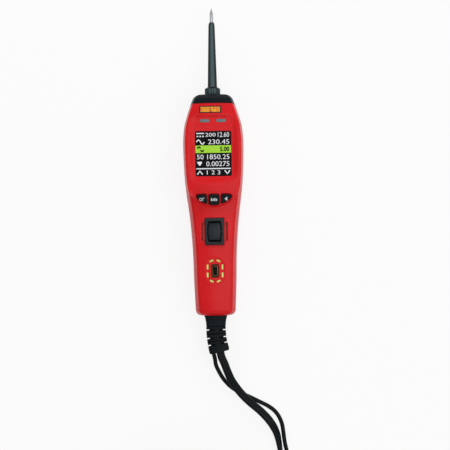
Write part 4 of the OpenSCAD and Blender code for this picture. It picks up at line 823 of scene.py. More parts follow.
def boxAround(name, halfX, halfY, y, low, high, x=0):
    return block(name, (x - halfX, y - halfY, low), (x + halfX, y + halfY, high))


y = rocker["y"]
tools = [
    plate("windowSeat", (28.3, 35.3, 1.3, 0, middle), 30.3, 40),
    plate("windowWay", (26, 33, 1.0, 0, middle), 20, 35),
    *[plate("lensWay", (7.7, 2.6, 1.29, x, dish["lensY"]), 20, 40) for x in dish["lensX"]],
    *[keyBody("keyWay", i, keys["play"], 20, 40) for i in (-1, 0, 1)],
    boxAround("bezelSeat", 7.65, 10.65, y, rocker["seat"], 40),
    plate("pocket", (*rocker["pocket"], 0.5, 0, y), rocker["seat"] - rocker["pocketDeep"], 40),
    *[boxAround("pocketSlit", 0.42, 7.25, y, 20, 30, x) for x in rocker["slitX"]],
    boxAround("caseWay", 6.65, 9.55, y, 5, 40), plate("portWay", (*port["opening"], 0, port["y"]), 5, 40)]


def slotPrisms(grow, low, high):  # four straight slots beside the port and four bent ones at its ends
    w, l = port["ring"]
    half, made = port["slot"][0] / 2 + grow, []
    turn, reach = port["endHalf"] + math.degrees(grow / (w / 2)), w / 2 + 0.3
    for sx in (-1, 1):
        for sy in (-1, 1):
            made.append(plateRing(
                half * 2, port["slot"][1] + grow * 2, 0.25, sx * w / 2, port["y"] + sy * port["slotAt"], 2))
            centre = port["y"] + sy * (l - w) / 2
            mid = sy * (90 - sx * port["endTurn"]) % 360
            angles = [math.radians(mid - turn + turn * k / 5) for k in range(11)]
            made.append([
                (math.cos(a) * r, centre + math.sin(a) * r)
                for r, walk in ((reach + half, angles), (reach - half, angles[::-1])) for a in walk])
    return [prism("slotWay", outline, low, high) for outline in made]


for tool in tools + slotPrisms(0, 20, 40):
    cut(front, tool)


def neckPiece(name, w, h, start, end):  # upright rounded plate across the tail of the housing
    return outward(ringLoft(name, [
        [(x, tailEnd + at, reliefMid + z) for x, z in plateRing(w, h, 3.4)] for at in (start, end)]))


cut(front, neckPiece("reliefWay", 13.7, 10.3, -1, 4))
cut(front, noseBox("noseWay", -0.07))
standsFor(finished(smooth(front, 40), redPlastic), "front_shell")
say(f"front cover, {len(front.data.polygons)} faces")


# Rear cover, nose cap and screws

rearPlan = {"boss": 3.8, "post": 2.0, "well": 2.8, "hole": 1.5, "wellTop": 4.8, "panel": (25, 60, 2.5, 0, 6)}
rearRows = rowsOf((tailEnd, -80, 0.35), (-80, 62, 1.1), (62, 84, 0.5))
rear = gridSolid("rearCover", bothSides(rearRows, *backSections(rearRows)))
rearCavity = gridSolid("rearCavity", bothSides(cavityRows, *backSections(
    cavityRows, 8, 4, inset=housing["wall"], top=housing["seam"] + 1, chamfer=0)))
for x, y in screws:
    cut(rearCavity, rod("lowBoss", (x, y, -2), (x, y, 20), rearPlan["boss"]))
for x in (-1, 1):
    for reach, y in ((12, 36), (8, -44)):
        cut(rearCavity, rod("post", (x * reach, y, -2), (x * reach, y, 20), rearPlan["post"], sides=24))
cut(rear, rearCavity)
for x, y in screws:
    cut(rear, rod("well", (x, y, -2), (x, y, rearPlan["wellTop"]), rearPlan["well"], sides=40))
    cut(rear, rod("hole", (x, y, -2), (x, y, 20), rearPlan["hole"]))
cut(rear, plate("backPanel", rearPlan["panel"], -1, 0.25))
cut(rear, neckPiece("reliefWay", 13.7, 10.3, -1, 4))
cut(rear, noseBox("noseWay", -0.07))
standsFor(finished(smooth(rear, 40), redPlastic), "rear_shell")

nosePlan = {"socket": 4.3, "probeZ": 15.5, "lampX": 5.9, "lampZ": 5, "lampHole": 1.575}
noseRows = rowsOf((74.5, 82, 0.5), (82, -tailEnd, 0.22))
above = bothSides(noseRows, *faceSections(noseRows, chamfer=0))
below = bothSides(noseRows, *backSections(noseRows, chamfer=0))[:, ::-1]
nose = gridSolid("noseCap", np.concatenate([above, below[:, 1:-1]], axis=1))
cut(nose, noseBox("noseOnly", 0.07), "INTERSECT")
cut(nose, rod("socketWay", (0, 60, nosePlan["probeZ"]), (0, 90, nosePlan["probeZ"]), nosePlan["socket"], sides=64))
lampPlaces = [
    (x * nosePlan["lampX"], nosePlan["probeZ"] + z * nosePlan["lampZ"]) for x in (-1, 1) for z in (-1, 1)]
for x, z in lampPlaces:
    cut(nose, rod("lampWay", (x, 60, z), (x, 90, z), nosePlan["lampHole"]))
    cut(nose, rod("flangeWay", (x, 60, z), (x, 77.6, z), 2.05))
    cut(nose, rod("lampRim", (x, 85.9, z), (x, 86.6, z), nosePlan["lampHole"], nosePlan["lampHole"] + 0.7))
standsFor(finished(smooth(nose, 40), blackPlastic), "nose_cap")
say("rear cover and nose cap")


def softCopy(node, name, finish, width=0.0, angle=32, segments=2):  # merged copy of a CAD piece, with soft edges
    piece = bpy.data.objects.new(name, frame["nodes"][node].data.copy())
    piece.data.name = name
    scene.collection.objects.link(piece)
    edit(piece, "VERT")
    bpy.ops.mesh.select_all(action="SELECT")
    bpy.ops.mesh.remove_doubles(threshold=2e-6)
    bpy.ops.mesh.dissolve_limited(angle_limit=0.004)
    leave(piece)
    if width:
        bevelled(piece, width, segments, 0.6)
    return standsFor(finished(smooth(piece, angle), finish), node)


softCopy("housing_screws", "coverScrews", platedSteel, 0.12)


# Probe

def spun(name, profile, x, z, sides=72):  # profile of (radius, y) turned about a line along Y
    piece = fromPoints(
        name, [(x + r, y, z) for r, y in profile], [(i, i + 1) for i in range(len(profile) - 1)], [])
    edit(piece, "VERT")
    bpy.ops.mesh.select_all(action="SELECT")
    bpy.ops.mesh.spin(steps=sides, angle=2 * math.pi, center=(x * mm, 0, z * mm), axis=(0, 1, 0))
    leave(piece)
    return outward(piece)


probe = {
    "z": 15.5, "flutes": 12, "fluteDeep": 0.5,
    "sleeve": [  # y, radius, share of the flutes' depth
        (86.7, 5.6, 0.6), (86.8, 5.85, 1), (87.0, 6.0, 1), (87.3, 6.05, 1), (90.6, 6.05, 1), (91.1, 6.0, 0.8),
        (91.4, 5.85, 0.4), (91.7, 5.4, 0.1), (92.1, 4.65, 0), (92.4, 4.1, 0), (92.6, 3.85, 0), (92.9, 3.7, 0),
        *[(93.4 + 4.1 * k, 3.66 - 0.104 * k, 0) for k in range(12)],
        (141.1, 2.4, 0), (141.9, 2.3, 0), (142.6, 2.1, 0), (143.1, 1.86, 0), (143.4, 1.6, 0), (143.5, 1.4, 0)],
    "tip": [  # radius, y
        (0, 73.5), (1.7, 73.5), (2.0, 73.8), (2.0, 92.4), (1.35, 92.5), (1.35, 143.8), (1.46, 143.8), (1.5, 143.84),
        (1.5, 149.9), (1.47, 150.2), (1.36, 150.6), (0.16, 154.2), (0.09, 154.42), (0, 154.5)],
}
flutedRings = []
for y, r, share in probe["sleeve"]:
    ring = []
    for k in range(144):
        a = 2 * math.pi * k / 144
        deep = probe["fluteDeep"] * share * (0.5 + 0.5 * math.cos(probe["flutes"] * a + math.pi)) ** 2
        ring.append(((r - deep) * math.cos(a), y, probe["z"] + (r - deep) * math.sin(a)))
    flutedRings.append(ring)
sleeve = outward(ringLoft("probeSleeve", flutedRings))
standsFor(finished(smooth(sleeve, 38), sleeveRubber), "probe_sleeve")
tip = spun("probeTip", probe["tip"], 0, probe["z"])
standsFor(finished(smooth(tip, 30), polishedSteel), "probe_tip")

clearLamp = Finish("clearLamp", Specular_IOR_Level=0.6, Coat_Weight=0.6)
lampClouds = clearLamp.noise(500, 2)
clearLamp.feed(
    Base_Color=clearLamp.mixColour(lampClouds.limited(0.3, 0.7), linear((232, 236, 240)), linear((214, 220, 226))),
    Roughness=0.12 + lampClouds * 0.06)
lampProfile = [
    (0, 76.5), (1.8, 76.5), (1.9, 76.6), (1.9, 77.4), (1.8, 77.5), (1.5, 77.52),
    *[(1.5 * math.cos(math.radians(a)), 85 + 1.5 * math.sin(math.radians(a))) for a in range(0, 90, 10)], (0, 86.5)]
lamps = joined("taskLamps", *[spun("taskLamp", lampProfile, x, z, 32) for x, z in lampPlaces])
standsFor(finished(smooth(lamps, 40), clearLamp), "task_lights")
say("probe and lamps")


# Screen

def litFinish(name, colour, shade, strength=1.0):
    made = Finish(name, Roughness=0.35, Emission_Strength=strength)
    grid = made.noise(900, 2)
    tone = made.mixColour(grid.limited(0.3, 0.7), linear(colour), linear(shade))
    return made.feed(Base_Color=made.mixColour(grid, linear((16, 16, 18)), linear((10, 10, 12))), Emission_Color=tone)


screenBlack = mouldedPlastic("screenBlack", (4, 5, 7), (2, 3, 4), 0.3, 3000, 0.000004, 0.1)
litWhite = litFinish("litWhite", (240, 242, 245), (226, 229, 234))
litGreen = litFinish("litGreen", (165, 220, 34), (154, 210, 30))
windowGlass = Finish("windowGlass", Base_Color=(0.02, 0.02, 0.02, 1))
edgeGloss = windowGlass.node("ShaderNodeFresnel", {}, 1.45)
windowGlass.feed(Roughness=0.05 + windowGlass.noise(60, 3) * 0.05)
windowGlass.beside("ShaderNodeBsdfTransparent", 1 - edgeGloss * 0.3, 0.97)

picture = {
    "back": (27.9, 34.9, 1.3, 0, middle), "low": 30.31, "top": 30.4, "marks": 30.43,
    "rows": (54.7, 49.2, 43.5, 37.5, 32.1, 25.4), "line": 0.95,
}


def glyphs(text, left, right, middle, height, low, high):  # numbers stretched to the width of their line
    unselect()
    bpy.ops.object.text_add()
    letters = newest("glyphs")
    letters.data.body, letters.data.extrude, letters.data.resolution_u = text, 0.05, 3
    bpy.ops.object.convert(target="MESH")
    corners = [v.co.copy() for v in letters.data.vertices]
    x0, x1 = min(c.x for c in corners), max(c.x for c in corners)
    y0, y1 = min(c.y for c in corners), max(c.y for c in corners)
    for v in letters.data.vertices:
        v.co = Vector((
            left + (v.co.x - x0) / (x1 - x0) * (right - left), middle + ((v.co.y - y0) / (y1 - y0) - 0.5) * height,
            high if v.co.z > 0 else low)) * mm
    return outward(letters)


def fattened(marks, by):  # heavier strokes
    for v in edit(marks, "VERT").verts:
        flat = Vector((v.normal.x, v.normal.y, 0))
        if flat.length > 0.05:
            v.co += flat.normalized() * by * mm
    return leave(marks)


def stroke(points, width, low, high):  # band of even width along a line of points
    p = np.array(points, float)
    go = np.gradient(p, axis=0)
    go /= np.linalg.norm(go, axis=1)[:, None]
    side = np.stack([-go[:, 1], go[:, 0]], axis=1) * width / 2
    return prism("stroke", [tuple(q) for q in p + side] + [tuple(q) for q in (p - side)[::-1]], low, high)


def bar(x0, x1, y0, y1, low, high):
    return block("bar", (x0, y0, low), (x1, y1, high))


def wave(x0, x1, middle, height, width, low, high, start=0, turns=1.0):
    return stroke([
        (x0 + (x1 - x0) * k / 24, middle + height / 2 * math.sin(math.radians(start + 360 * turns * k / 24)))
        for k in range(25)], width, low, high)


row1, row2, row3, row4, row5, row6 = picture["rows"]
low, high = picture["top"] - 0.02, picture["marks"]
flat, over, line = (low, high), (high, high + 0.02), picture["line"]
funnel = [
    (-12.6, 1.7), (-12.2, 0), (-11.3, -0.5), (-11.2, -1.3), (-10.2, -1.5), (-10.0, -0.5), (-9.2, 0), (-8.9, 1.7)]
whiteMarks = [
    bar(-13.0, -7.0, row1 + 0.7, row1 + 1.5, *flat),
    *[bar(-12.8 + 2.2 * k, -11.6 + 2.2 * k, row1 - 1.7, row1 - 0.7, *flat) for k in range(3)],
    wave(-13, -6.8, row2 - 0.1, 3.3, 0.85, *flat),
    prism("funnel", [(x, row5 + y) for x, y in funnel[::-1]], *flat),
    bar(-13.4, 13.4, 27.95, 28.75, *flat),
    stroke([(-12.6, row6 - 1.5), (-10.6, row6 + 1.2), (-8.6, row6 - 1.5)], line, *flat),
    stroke([(12.7, row6 + 1.5), (10.7, row6 - 1.2), (8.7, row6 + 1.5)], line, *flat),
    *[glyphs(*number, *flat) for number in (  # text, left, right, row, height
        ("200", -6.1, 2.0, row1, 2.9), ("12.60", 3.7, 12.5, row1, 3.7), ("230.45", -4.0, 12.5, row2, 3.7),
        ("50", -12.8, -7.6, row4, 3.6), ("1850.25", -4.8, 12.5, row4, 3.7), ("0.00275", -5.6, 12.4, row5, 3.8),
        ("1 2 3", -5.2, 5.2, row6, 3.2))]]
darkMarks = [
    wave(-12.4, -9.9, row3 + 0.6, 2.2, 1.15, *over, 0, 0.5),
    wave(-9.9, -7.4, row3 - 0.6, 2.2, 1.15, *over, 180, 0.5),
    fattened(glyphs("5.00", 5.3, 12.3, row3, 3.5, *over), 0.17)]
panelBody = bevelled(boxAround("panelBody", 15.2, 18.7, middle, 26.2, 28.8), 0.2, 2, 0.5)
guide = bevelled(plate("lightGuide", (25.6, 32.6, 0.9, 0, middle), 28.7, 30.2), 0.05, 2, 0.5)
standsFor(finished(smooth(joined("displayPanel", panelBody, guide), 30), screenBlack), "lcd_module")
window = joined(
    "screenWindow",
    finished(bevelled(plate("pane", (28, 35, 1.4, 0, middle), 30.46, 31.3), 0.12, 2, 0.5), windowGlass),
    finished(plate("backing", picture["back"], picture["low"], picture["top"]), screenBlack),
    finished(joined("whiteMarks", *whiteMarks), litWhite),
    finished(bar(-13.85, 13.85, row3 - 2.9, row3 + 2.9, *flat), litGreen),
    finished(joined("darkMarks", *darkMarks), screenBlack))
standsFor(smooth(window, 30), "screen_window")

lensFinish = mouldedPlastic("lensFinish", (112, 130, 134), (98, 117, 121), 0.22, 2600, 0.00001)
lenses = [
    bevelled(plate("lens", (7.5, 2.4, 1.19, x, dish["lensY"]), 23.87, 31.45), 0.35, 4) for x in dish["lensX"]]
standsFor(finished(smooth(joined("statusLenses", *lenses), 40), lensFinish), "status_lenses")
say("screen and lenses")


# Keys, with their small pale marks

keyMarks = mouldedPlastic("keyMarks", (206, 212, 216), (188, 195, 200), 0.5, 2400, 0.00001)
for i, node in ((-1, "key_left"), (0, "key_middle"), (1, "key_right")):
    cap = bevelled(keyBody("keyCap", i, 0, keys["flange"], keys["height"]), 0.45, 4)
    x, y = i * keys["step"], keys["middle"]
    flange = bevelled(plate("flange", (8.4, 10.3, 0.9, x, y), keys["flange"], keys["flange"] + 1), 0.15, 2, 0.5)
    stem = rod("stem", (x, y, 22.674), (x, y, keys["flange"] + 0.5), 1.5)
    body = finished(joined("keyBody", cap, flange, stem), keyRubber)
    low, high = keys["height"] - 0.1, keys["height"] + 0.03
    if i < 0:
        ring = plate("ring", (1.9, 2.4, 0.9, x - 0.6, y + 0.2), low, high)
        cut(ring, plate("ringHole", (1.1, 1.6, 0.5, x - 0.6, y + 0.2), low - 1, high + 1))
        marks = [ring, bar(x + 0.8, x + 1.25, y - 1.0, y + 1.4, low, high),
                 bar(x + 1.25, x + 2.3, y + 1.0, y + 1.4, low, high)]
    elif i == 0:
        marks = [bar(x - 2.4 + 1.3 * k, x - 1.5 + 1.3 * k, y - 1.1, y + 1.1 - 0.5 * (k % 2), low, high)
                 for k in range(4)]
    else:
        marks = [prism("arrow", [(x - 1.7, y + 0.5), (x + 0.7, y - 1.2), (x + 0.7, y + 2.2)], low, high)]
    cap = joined(node.replace("key_", "") + "Key", body, finished(joined("marks", *marks), keyMarks))
    standsFor(smooth(cap, 40), node)
say("keys")


# Rocker switch

paddleSide = (rocker["paddle"][1] ** 2 / 4 + 0.64) / 1.6
paddleDish = (rocker["paddle"][1] ** 2 / 4 + rocker["dip"] ** 2) / (2 * rocker["dip"])


def paddleOutline(grow, steps=24):  # barrel shape with square ends
    half, points = rocker["paddle"][1] / 2 + grow, []
    for side in (1, -1):
        for k in range(steps + 1):
            y = side * (-half + 2 * half * k / steps)
            x = math.sqrt((paddleSide + grow) ** 2 - y * y) - (paddleSide - rocker["paddle"][0] / 2)
            points.append((side * x, rocker["y"] + y))
    return points


y, seat, pivot, floorZ = (rocker[key] for key in ("y", "seat", "pivot", "caseFloor"))
bezelTop = seat + rocker["bezelThick"]
caseX, caseY = (size / 2 for size in rocker["case"])
case = boxAround("case", caseX, caseY, y, floorZ, seat + 0.3)
bezel = plate("bezel", (*rocker["bezel"], 0.4, 0, y), seat, bezelTop)
mesh = edit(bezel)
chosen(bezel, mesh, lambda f: f.normal.z > 0.9)
bpy.ops.mesh.bevel(offset=0.35 * mm, segments=3)
leave(bezel)
cut(case, bezel, "UNION")
cut(case, prism("opening", paddleOutline(0.5), pivot - 7.7, 40))
cut(case, prism("openingRim", paddleOutline(0.78), bezelTop - 0.3, 40))
cut(case, boxAround("hollow", caseX - 1.15, caseY - 1, y, floorZ + 1, seat - 1))
cut(case, rod("pivotWay", (-8, y, pivot), (8, y, pivot), 1.25))
for at in (-6.4, 0, 6.4):
    cut(case, boxAround("bladeWay", 2.4, 0.4, y + at, 10, 16))
standsFor(finished(smooth(case, 35), switchPlastic), "rocker_case")

paddle = prism("paddle", paddleOutline(-0.5), pivot - 3, pivot + 4.5)
profile = [(-6.3, 4.5), (-7.2, 1), (-7.2, -1), (-4.7, -3), (4.7, -3), (7.2, -1), (7.2, 1), (6.3, 4.5)]
side = ringLoft("paddleSide", [[(x, y + a, pivot + b) for a, b in profile] for x in (-9, 9)])
cut(paddle, outward(side), "INTERSECT")
cut(paddle, rod("dip", (-9, y, bezelTop + paddleDish), (9, y, bezelTop + paddleDish), paddleDish, sides=360))
bevelled(paddle, 0.4, 3, 0.55)
axle = rod("axle", (-6.35, y, pivot), (6.35, y, pivot), 1.2)
plunger = rod("plunger", (0, y, pivot - 6.85), (0, y, pivot - 2.5), 1.2, sides=24)
standsFor(finished(smooth(joined("rockerPaddle", paddle, axle, plunger), 35), switchPlastic), "rocker_paddle")
say("rocker switch")


# Update port and its lit ring

y, face = port["y"], port["face"]
portShell = plate("portShell", (4.2, 8, 1.1, 0, y), face - 9.3, face - 0.9)
cut(portShell, plate("portHollow", (3.5, 7.3, 0.8, 0, y), face - 8.6, 40))
portFlange = plate("portFlange", (5.4, 9.2, 0.4, 0, y), 21.48, 21.83)
cut(portFlange, plate("flangeHole", (3.85, 7.65, 0.9, 0, y), 20, 23))
goldPlate = metal("goldPlate", (176, 128, 66), (60, 42, 26), 0.34)
portFloor = plate("portFloor", (3.6, 7.4, 0.8, 0, y), face - 8.7, face - 7.4)
socket = joined(
    "portSocket", finished(portFloor, screenBlack), finished(bevelled(portShell, 0.08), goldPlate),
    finished(portFlange, screenBlack))
standsFor(smooth(socket, 35), "usb_shell")

ringLight = Finish("ringLight", Specular_IOR_Level=0.5, Emission_Strength=0.25)
glow = ringLight.noise(320, 3)
ringTone = ringLight.mixColour(glow.limited(0.3, 0.7), linear((200, 222, 118)), linear((178, 204, 98)))
ringLight.feed(Base_Color=ringTone, Emission_Color=ringTone, Roughness=0.3 + glow * 0.1)
under = plate("lightPlate", (*port["step"], 0, y), 21.48, 23.07)
cut(under, plate("lightHole", (8, 12.8, 2.9, 0, y), 20, 25))
lightRing = joined("lightRing", under, *slotPrisms(-0.16, 21.6, face - 0.6))
standsFor(finished(smooth(lightRing, 35), ringLight), "light_ring")
say("port")


# Small plain patch above the lamps

def facePatch(name, finish, w, l, cx, cy, lift, thick, steps=16):  # plate that follows the raised face
    rings = []
    for y in np.linspace(cy - l / 2, cy + l / 2, steps // 2 + 1):
        edge = float(halfWidth(y)) - housing["raisedIn"] - housing["raisedRound"]
        xs = np.linspace(cx - w / 2, cx + w / 2, steps + 1)
        z = float(faceHeight(y)) + housing["lip"] - housing["crown"] * (xs / edge) ** 2 + lift
        over, under = ([(x, y, h + up) for x, h in zip(xs, z)] for up in (thick, -0.05))
        rings.append(over + under[::-1])
    return finished(outward(ringLoft(name, rings)), finish)


printYellow = Finish("printYellow", Specular_IOR_Level=0.3)
mottle = printYellow.noise(700, 4, 0.7)
printYellow.feed(
    Base_Color=printYellow.mixColour(mottle.limited(0.42, 0.6), linear((238, 180, 40)), linear((232, 92, 40))),
    Roughness=0.42 + mottle * 0.1)
printBlack = mouldedPlastic("printBlack", (20, 20, 22), (26, 26, 28), 0.42, 2400, 0.000006)
patch = joined(
    "plainPatch", facePatch("patchBack", printBlack, 17.2, 5.6, -1.9, 74.4, 0.0, 0.05),
    *[facePatch("patchField", printYellow, 7.4, 4.0, x, 74.4, 0.02, 0.06) for x in (-5.8, 2.0)])
smooth(patch, 35)
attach(patch, "tester")


# Strain relief: one bent body with slots from both sides and grooves across its top

relief = {
    "width": 15.4, "depth": 12, "corner": 3.0, "flareWidth": 2.8, "flareDepth": 1.6, "flareLength": 8,
    "length": 29.2, "groove": 8.6, "sideSlots": (11.4, 17.5, 22.5), "topGrooves": (14.3, 20.0), "slot": 1.3,
    "bendFrom": 10.2, "bendLength": 14.8, "collarFrom": 23.2, "notch": (5.4, 12), "hole": (2, 4.9),
    "holeFloor": 2.4, "grooveFloor": 3.6,
}


def bendAt(d):
    return cordPlan["reliefBend"] * min(max((d - relief["bendFrom"]) / relief["bendLength"], 0), 1)


def reliefPlace(d):  # centre and angle at a distance from the housing
    x, y, steps = 0.0, tailEnd, 60
    for k in range(steps):
        a = math.radians(bendAt((k + 0.5) * d / steps))
        x, y = x + math.sin(a) * d / steps, y - math.cos(a) * d / steps
    return x, y, bendAt(d)


reliefRings = []
for d in (*np.round(np.arange(0, 8.1, 0.8), 2), 8.2, 8.35, 8.5, 8.7, 8.85, 9.0,
          *np.round(np.arange(9.8, 28, 1.2), 2), 28.0, 28.4, 28.7, 28.95, 29.1, relief["length"]):
    flare = max(0, 1 - d / relief["flareLength"]) ** 2
    waist = 0.9 * max(0, 1 - abs(d - relief["groove"]) / 0.4) ** 0.5
    collar = 0.5 * float(ease((d - relief["collarFrom"]) / 1.4))
    end = 2 * float(roundIn(relief["length"] - d, 1.2))
    w = relief["width"] + relief["flareWidth"] * flare - waist + collar - end
    h = relief["depth"] + relief["flareDepth"] * flare - waist + collar * 0.6 - end
    x, y, a = reliefPlace(d)
    side = turnedBy(a, 1, 0)
    reliefRings.append([
        (x + side[0] * p, y + side[1] * p, reliefMid + q) for p, q in plateRing(w, h, relief["corner"], steps=5)])
reliefBody = outward(ringLoft("strainRelief", reliefRings))


def reliefCut(d, across, half, upright):  # block taken from the relief at a distance, in its own directions
    (x0, x1), (z0, z1) = sorted(across), sorted(upright)
    tool = block("reliefTool", (x0, -half, z0), (x1, half, z1))
    x, y, a = reliefPlace(d)
    tool.data.transform(
        Matrix.Translation((x * mm, y * mm, reliefMid * mm)) @ Matrix.Rotation(math.radians(a), 4, "Z"))
    cut(reliefBody, tool)


half = relief["slot"] / 2
for d in relief["sideSlots"]:
    for s in (-1, 1):
        reliefCut(d, [s * x for x in relief["notch"]], half, (-12, 12))
        for top in (-1, 1):
            reliefCut(d, [s * x for x in relief["hole"]], half, (top * relief["holeFloor"], top * 12))
for d in relief["topGrooves"]:
    for s in (-1, 1):
        reliefCut(d, (-12, 12), half * 0.75, (s * relief["grooveFloor"], s * 12))
bevelled(reliefBody, 0.18)
reliefPiece = joined(
    "strainRelief", reliefBody, neckPiece("neck", 13.4, 10, -0.5, 4.6), neckPiece("neckFlange", 16.4, 11, 2.35, 4.5))
standsFor(finished(smooth(reliefPiece, 35), reliefRubber), "strain_relief")
say("strain relief")


# Ties round the coils, the split sleeve and the wires inside

def band(name, w, l, corner, y, z, xs):  # rounded outline across the cords, between two places along X
    return outward(ringLoft(name, [[(x, y + p, z + q) for p, q in plateRing(w, l, corner)] for x in xs]))


def strap(name, node, x, width, y, z, build, tall, thick=0.8, corner=2.0):
    ring = band(name, build + thick * 2, tall + thick * 2, corner, y, z, (x - width / 2, x + width / 2))
    cut(ring, band("strapHole", build, tall, corner - thick, y, z, (x - width, x + width)))
    bevelled(ring, 0.2)
    top = z + tall / 2 + thick
    end = plate("strapEnd", (width - 0.8, build * 0.62, 1.6, x, y - build * 0.1), top - 0.05, top + 0.55)
    standsFor(finished(smooth(joined(name, ring, bevelled(end, 0.2)), 35), strapCloth), node)


lift = cordPlan["lift"]
coilBuild = cordPlan["coilPitch"] * cordPlan["coilTurns"] / 4 + cordPlan["twinThick"]
coilTall = coilHigh - coilLow + cordPlan["twinWidth"]
strap("coilTie", "coil_tie", coilX, 14, coilY + cordPlan["coilRadius"], lift + coilTall / 2, coilBuild + 2,
      coilTall + 0.6)
smallBuild = cordPlan["smallPitch"] * 3 + cordPlan["groundDiameter"]
smallTall = smallHigh - smallLow + cordPlan["groundDiameter"]
strap("smallTie", "aux_tie", smallX, 5, smallY + cordPlan["smallRadius"], lift + smallTall / 2, smallBuild + 1,
      smallTall + 0.6)

sleeveRings = []
for d in (0, 0.15, 0.4, 0.8, 1.4, 4, 9, 14, 16.6, 17.2, 17.6, 17.85, 18):
    inset = float(roundIn(min(d, 18 - d), 1.4)) * 0.8
    sleeveRings.append([(sleeveAt[0] - 18 + d, sleeveAt[1] + p, splitHeight + q)
                        for p, q in plateRing(11 - 2 * inset, 8.4 - 2 * inset, 2.8 - inset)])
split = outward(ringLoft("splitSleeve", sleeveRings))
standsFor(finished(smooth(split, 40), reliefRubber), "split_sleeve")

bladeZ = floorZ - 2.7
startY = tailEnd + 2.2 + 2.2 + 0.15
switchY = rocker["y"]
wireRoutes = [
    (blackSheath, [
        (-2.4, startY, reliefMid), (-2.6, startY + 3, reliefMid), (-4, -66, 8), (-3.4, -50, 6), (-2, -36, 8),
        (-1.4, switchY - 9.8, bladeZ), (-1.4, switchY - 6.8, bladeZ)]),
    (redSheath, [
        (2.4, startY, reliefMid), (2.6, startY + 3, reliefMid), (4.4, -66, 8), (5, -46, 5), (5.4, -20, 4), (5, -8, 5),
        (3.4, -4.6, 8), (1.4, switchY + 9.8, bladeZ), (1.4, switchY + 6.8, bladeZ)]),
    (redSheath, [
        (-1, switchY + 0.4, bladeZ), (-1, switchY + 1.9, bladeZ), (-4.6, switchY + 3.4, bladeZ - 1),
        (-9, -10, 6), (-9, 12, 5), (-8, 40, 6), (-4, 56, 9), (0, 65.8, 15.5), (0, 70.3, 15.5)])]
wires = []
for sheath, points in wireRoutes:
    path, _ = alongRoute(points, step=1.0)
    wires.append(finished(sweep("wire", path, section=roundSection(1.8, 10)), sheath))
standsFor(joined("innerWires", *wires), "inner_wires")
say("ties, sleeve and wires")


# Clips: soft-edged copies of the sheet metal, with grips and springs of their own

def springWire(node, name, at, turns, pin, wire, height, leg, legY, lift):
    r, pitch = pin / 2 + wire / 2 + 0.3, wire + 0.3
    low = height / 2 - (turns + 0.5) * pitch / 2
    local = [(-leg, -legY, low), (-r * 1.6, -r * 1.1, low)]
    for k in range(int(turns * 24) + 13):
        a = math.radians(-90 + 15 * k)
        local.append((r * math.cos(a), r * math.sin(a), low + pitch * k / 24))
    local.append((-r * 1.6, r * 1.05, low + pitch * (turns + 0.5)))
    path, _ = alongRoute([(at[0] - y, at[1] + x, lift + z) for x, y, z in local], step=0.6)
    return standsFor(finished(sweep(name, path, roundSection(wire, 10)), platedSteel), node)


batteryClip = {"pin": 3.2, "wire": 1.1, "height": 14, "leg": 17.6, "legY": 11.2, "lift": 1.2}
groundClip = {"pin": 2, "wire": 0.7, "height": 8, "leg": 10.56, "legY": 6.4, "lift": 0.9}
clips = {  # place, grip, spring, width of the soft edge
    "red": ((-162, -276), redVinyl, batteryClip, 0.2),
    "black": ((-124, -276), blackVinyl, batteryClip, 0.2),
    "aux": ((132, -232), blackVinyl, groundClip, 0.12),
}
clipBases = {}
for colour, (place, gripFinish, spring, edge) in clips.items():
    for part in ("base", "jaw", "pin"):
        softCopy(f"{colour}_clip_{part}", f"{colour}Clip{part.capitalize()}", platedSteel, edge * 0.8)
    grips = [softCopy(f"{colour}_clip_{part}_grip", f"{colour}{part.capitalize()}Grip", gripFinish, edge * 2, 40, 3)
             for part in ("base", "jaw")]
    clipBases[colour] = grips[0]
    springWire(f"{colour}_clip_spring", f"{colour}Spring", place, turns=3, **spring)
say("clips")


# Finishes of the CAD pieces that stay

whitePlastic = mouldedPlastic("whitePlastic", (216, 216, 212), (204, 204, 199), 0.45)
laminate = mouldedPlastic("laminate", (26, 92, 52), (20, 78, 44), 0.35, 3200, 0.00001)
chipBlack = mouldedPlastic("chipBlack", (34, 34, 37), (27, 27, 30), 0.5, 2800, 0.00001)
stayFinishes = {
    "steel": platedSteel, "brass": brassFinish, "frame_white": whitePlastic, "board_green": laminate,
    "component_black": chipBlack, "switch_black": switchPlastic, "lit_green": ringLight,
}
for node, source in frame["nodes"].items():
    finish = screenBlack if node == "usb_tongue" else stayFinishes.get(slotOf.get(node), chipBlack)
    if source.material_slots:
        for place in source.material_slots:
            place.material = finish.material
    else:
        source.data.materials.append(finish.material)


# Each cord's path in metres, worked out and not used further

for piece, path, diameter, lay, held in (
        (twinCord, twinPath, 0.0046, "coiled", split),
        (redLead, redPath, 0.0032, "loose", clipBases["red"]),
        (blackLead, blackPath, 0.0032, "loose", clipBases["black"])):
    points = [[mm * float(v) for v in p] for p in path]


# Floor and light

def paleFloor(name, colour, white):  # white to the camera, with a share of the real floor and its shadow
    made = Finish(name, Roughness=0.7)
    tone = made.noise(9, 2).limited(0.2, 0.8)
    made.feed(Base_Color=made.mixColour(tone, linear(colour), linear([c - 3 for c in colour])))
    rays = made.tree.nodes.new("ShaderNodeLightPath")
    seen = Link(made, rays.outputs["Is Camera Ray"]) + Link(made, rays.outputs["Is Glossy Ray"])
    made.beside("ShaderNodeEmission", seen * white)
    return made


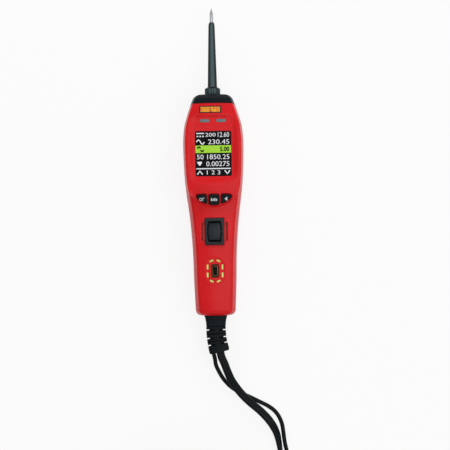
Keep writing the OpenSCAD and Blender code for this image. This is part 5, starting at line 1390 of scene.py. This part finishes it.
studio = {
    "floor": 3.2,
    "lamps": [  # place, aim, size, watts
        ((0.30, -0.10, 0.95), (0.02, 0.0, 0.0), (0.75, 0.9), 2.7),
        ((-0.75, 0.25, 0.85), (0.0, 0.0, 0.0), (0.7, 0.9), 0.7),
        ((0.1, 1.05, 0.55), (0.0, 0.0, 0.0), (1.0, 0.35), 5.0),
        ((0.25, -0.95, 0.55), (0.0, -0.05, 0.0), (0.9, 0.3), 1.0),
    ],
    "world": (0.28, 0.56),  # from the left and from the right
}
unselect()
bpy.ops.mesh.primitive_plane_add(size=studio["floor"], location=(0, -0.1, -0.0004))
floor = applied(newest("floor"))
finished(floor, paleFloor("paleFloor", (246, 246, 246), 0.86))
for i, (place, aim, size, watts) in enumerate(studio["lamps"]):
    lampData = bpy.data.lights.new(f"lamp{i}", "AREA")
    lampData.shape, lampData.size, lampData.size_y, lampData.energy = "RECTANGLE", *size, watts
    lamp = bpy.data.objects.new(f"lamp{i}", lampData)
    lamp.location = place
    lamp.rotation_euler = (Vector(place) - Vector(aim)).to_track_quat("Z", "Y").to_euler()
    scene.collection.objects.link(lamp)
world = bpy.data.worlds.new("studio")
scene.world = world
world.use_nodes = True
worldTree = world.node_tree
background = next(n for n in worldTree.nodes if n.type == "BACKGROUND")
background.inputs["Color"].default_value = (1, 1, 1, 1)
rays = worldTree.nodes.new("ShaderNodeLightPath")
seen = worldTree.nodes.new("ShaderNodeMath")
seen.operation = "MAXIMUM"
worldTree.links.new(rays.outputs["Is Camera Ray"], seen.inputs[0])
worldTree.links.new(rays.outputs["Is Transmission Ray"], seen.inputs[1])
level = worldTree.nodes.new("ShaderNodeMapRange")
direction = worldTree.nodes.new("ShaderNodeSeparateXYZ")
worldTree.links.new(worldTree.nodes.new("ShaderNodeTexCoord").outputs["Generated"], direction.inputs[0])
sides = worldTree.nodes.new("ShaderNodeMapRange")
for key, value in zip(("From Min", "From Max", "To Min", "To Max"), (-1, 1, *studio["world"])):
    sides.inputs[key].default_value = value
worldTree.links.new(direction.outputs["X"], sides.inputs["Value"])
worldTree.links.new(sides.outputs["Result"], level.inputs["To Min"])
level.inputs["To Max"].default_value = 1.0
worldTree.links.new(seen.outputs[0], level.inputs["Value"])
worldTree.links.new(level.outputs["Result"], background.inputs["Strength"])


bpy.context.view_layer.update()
say("done")
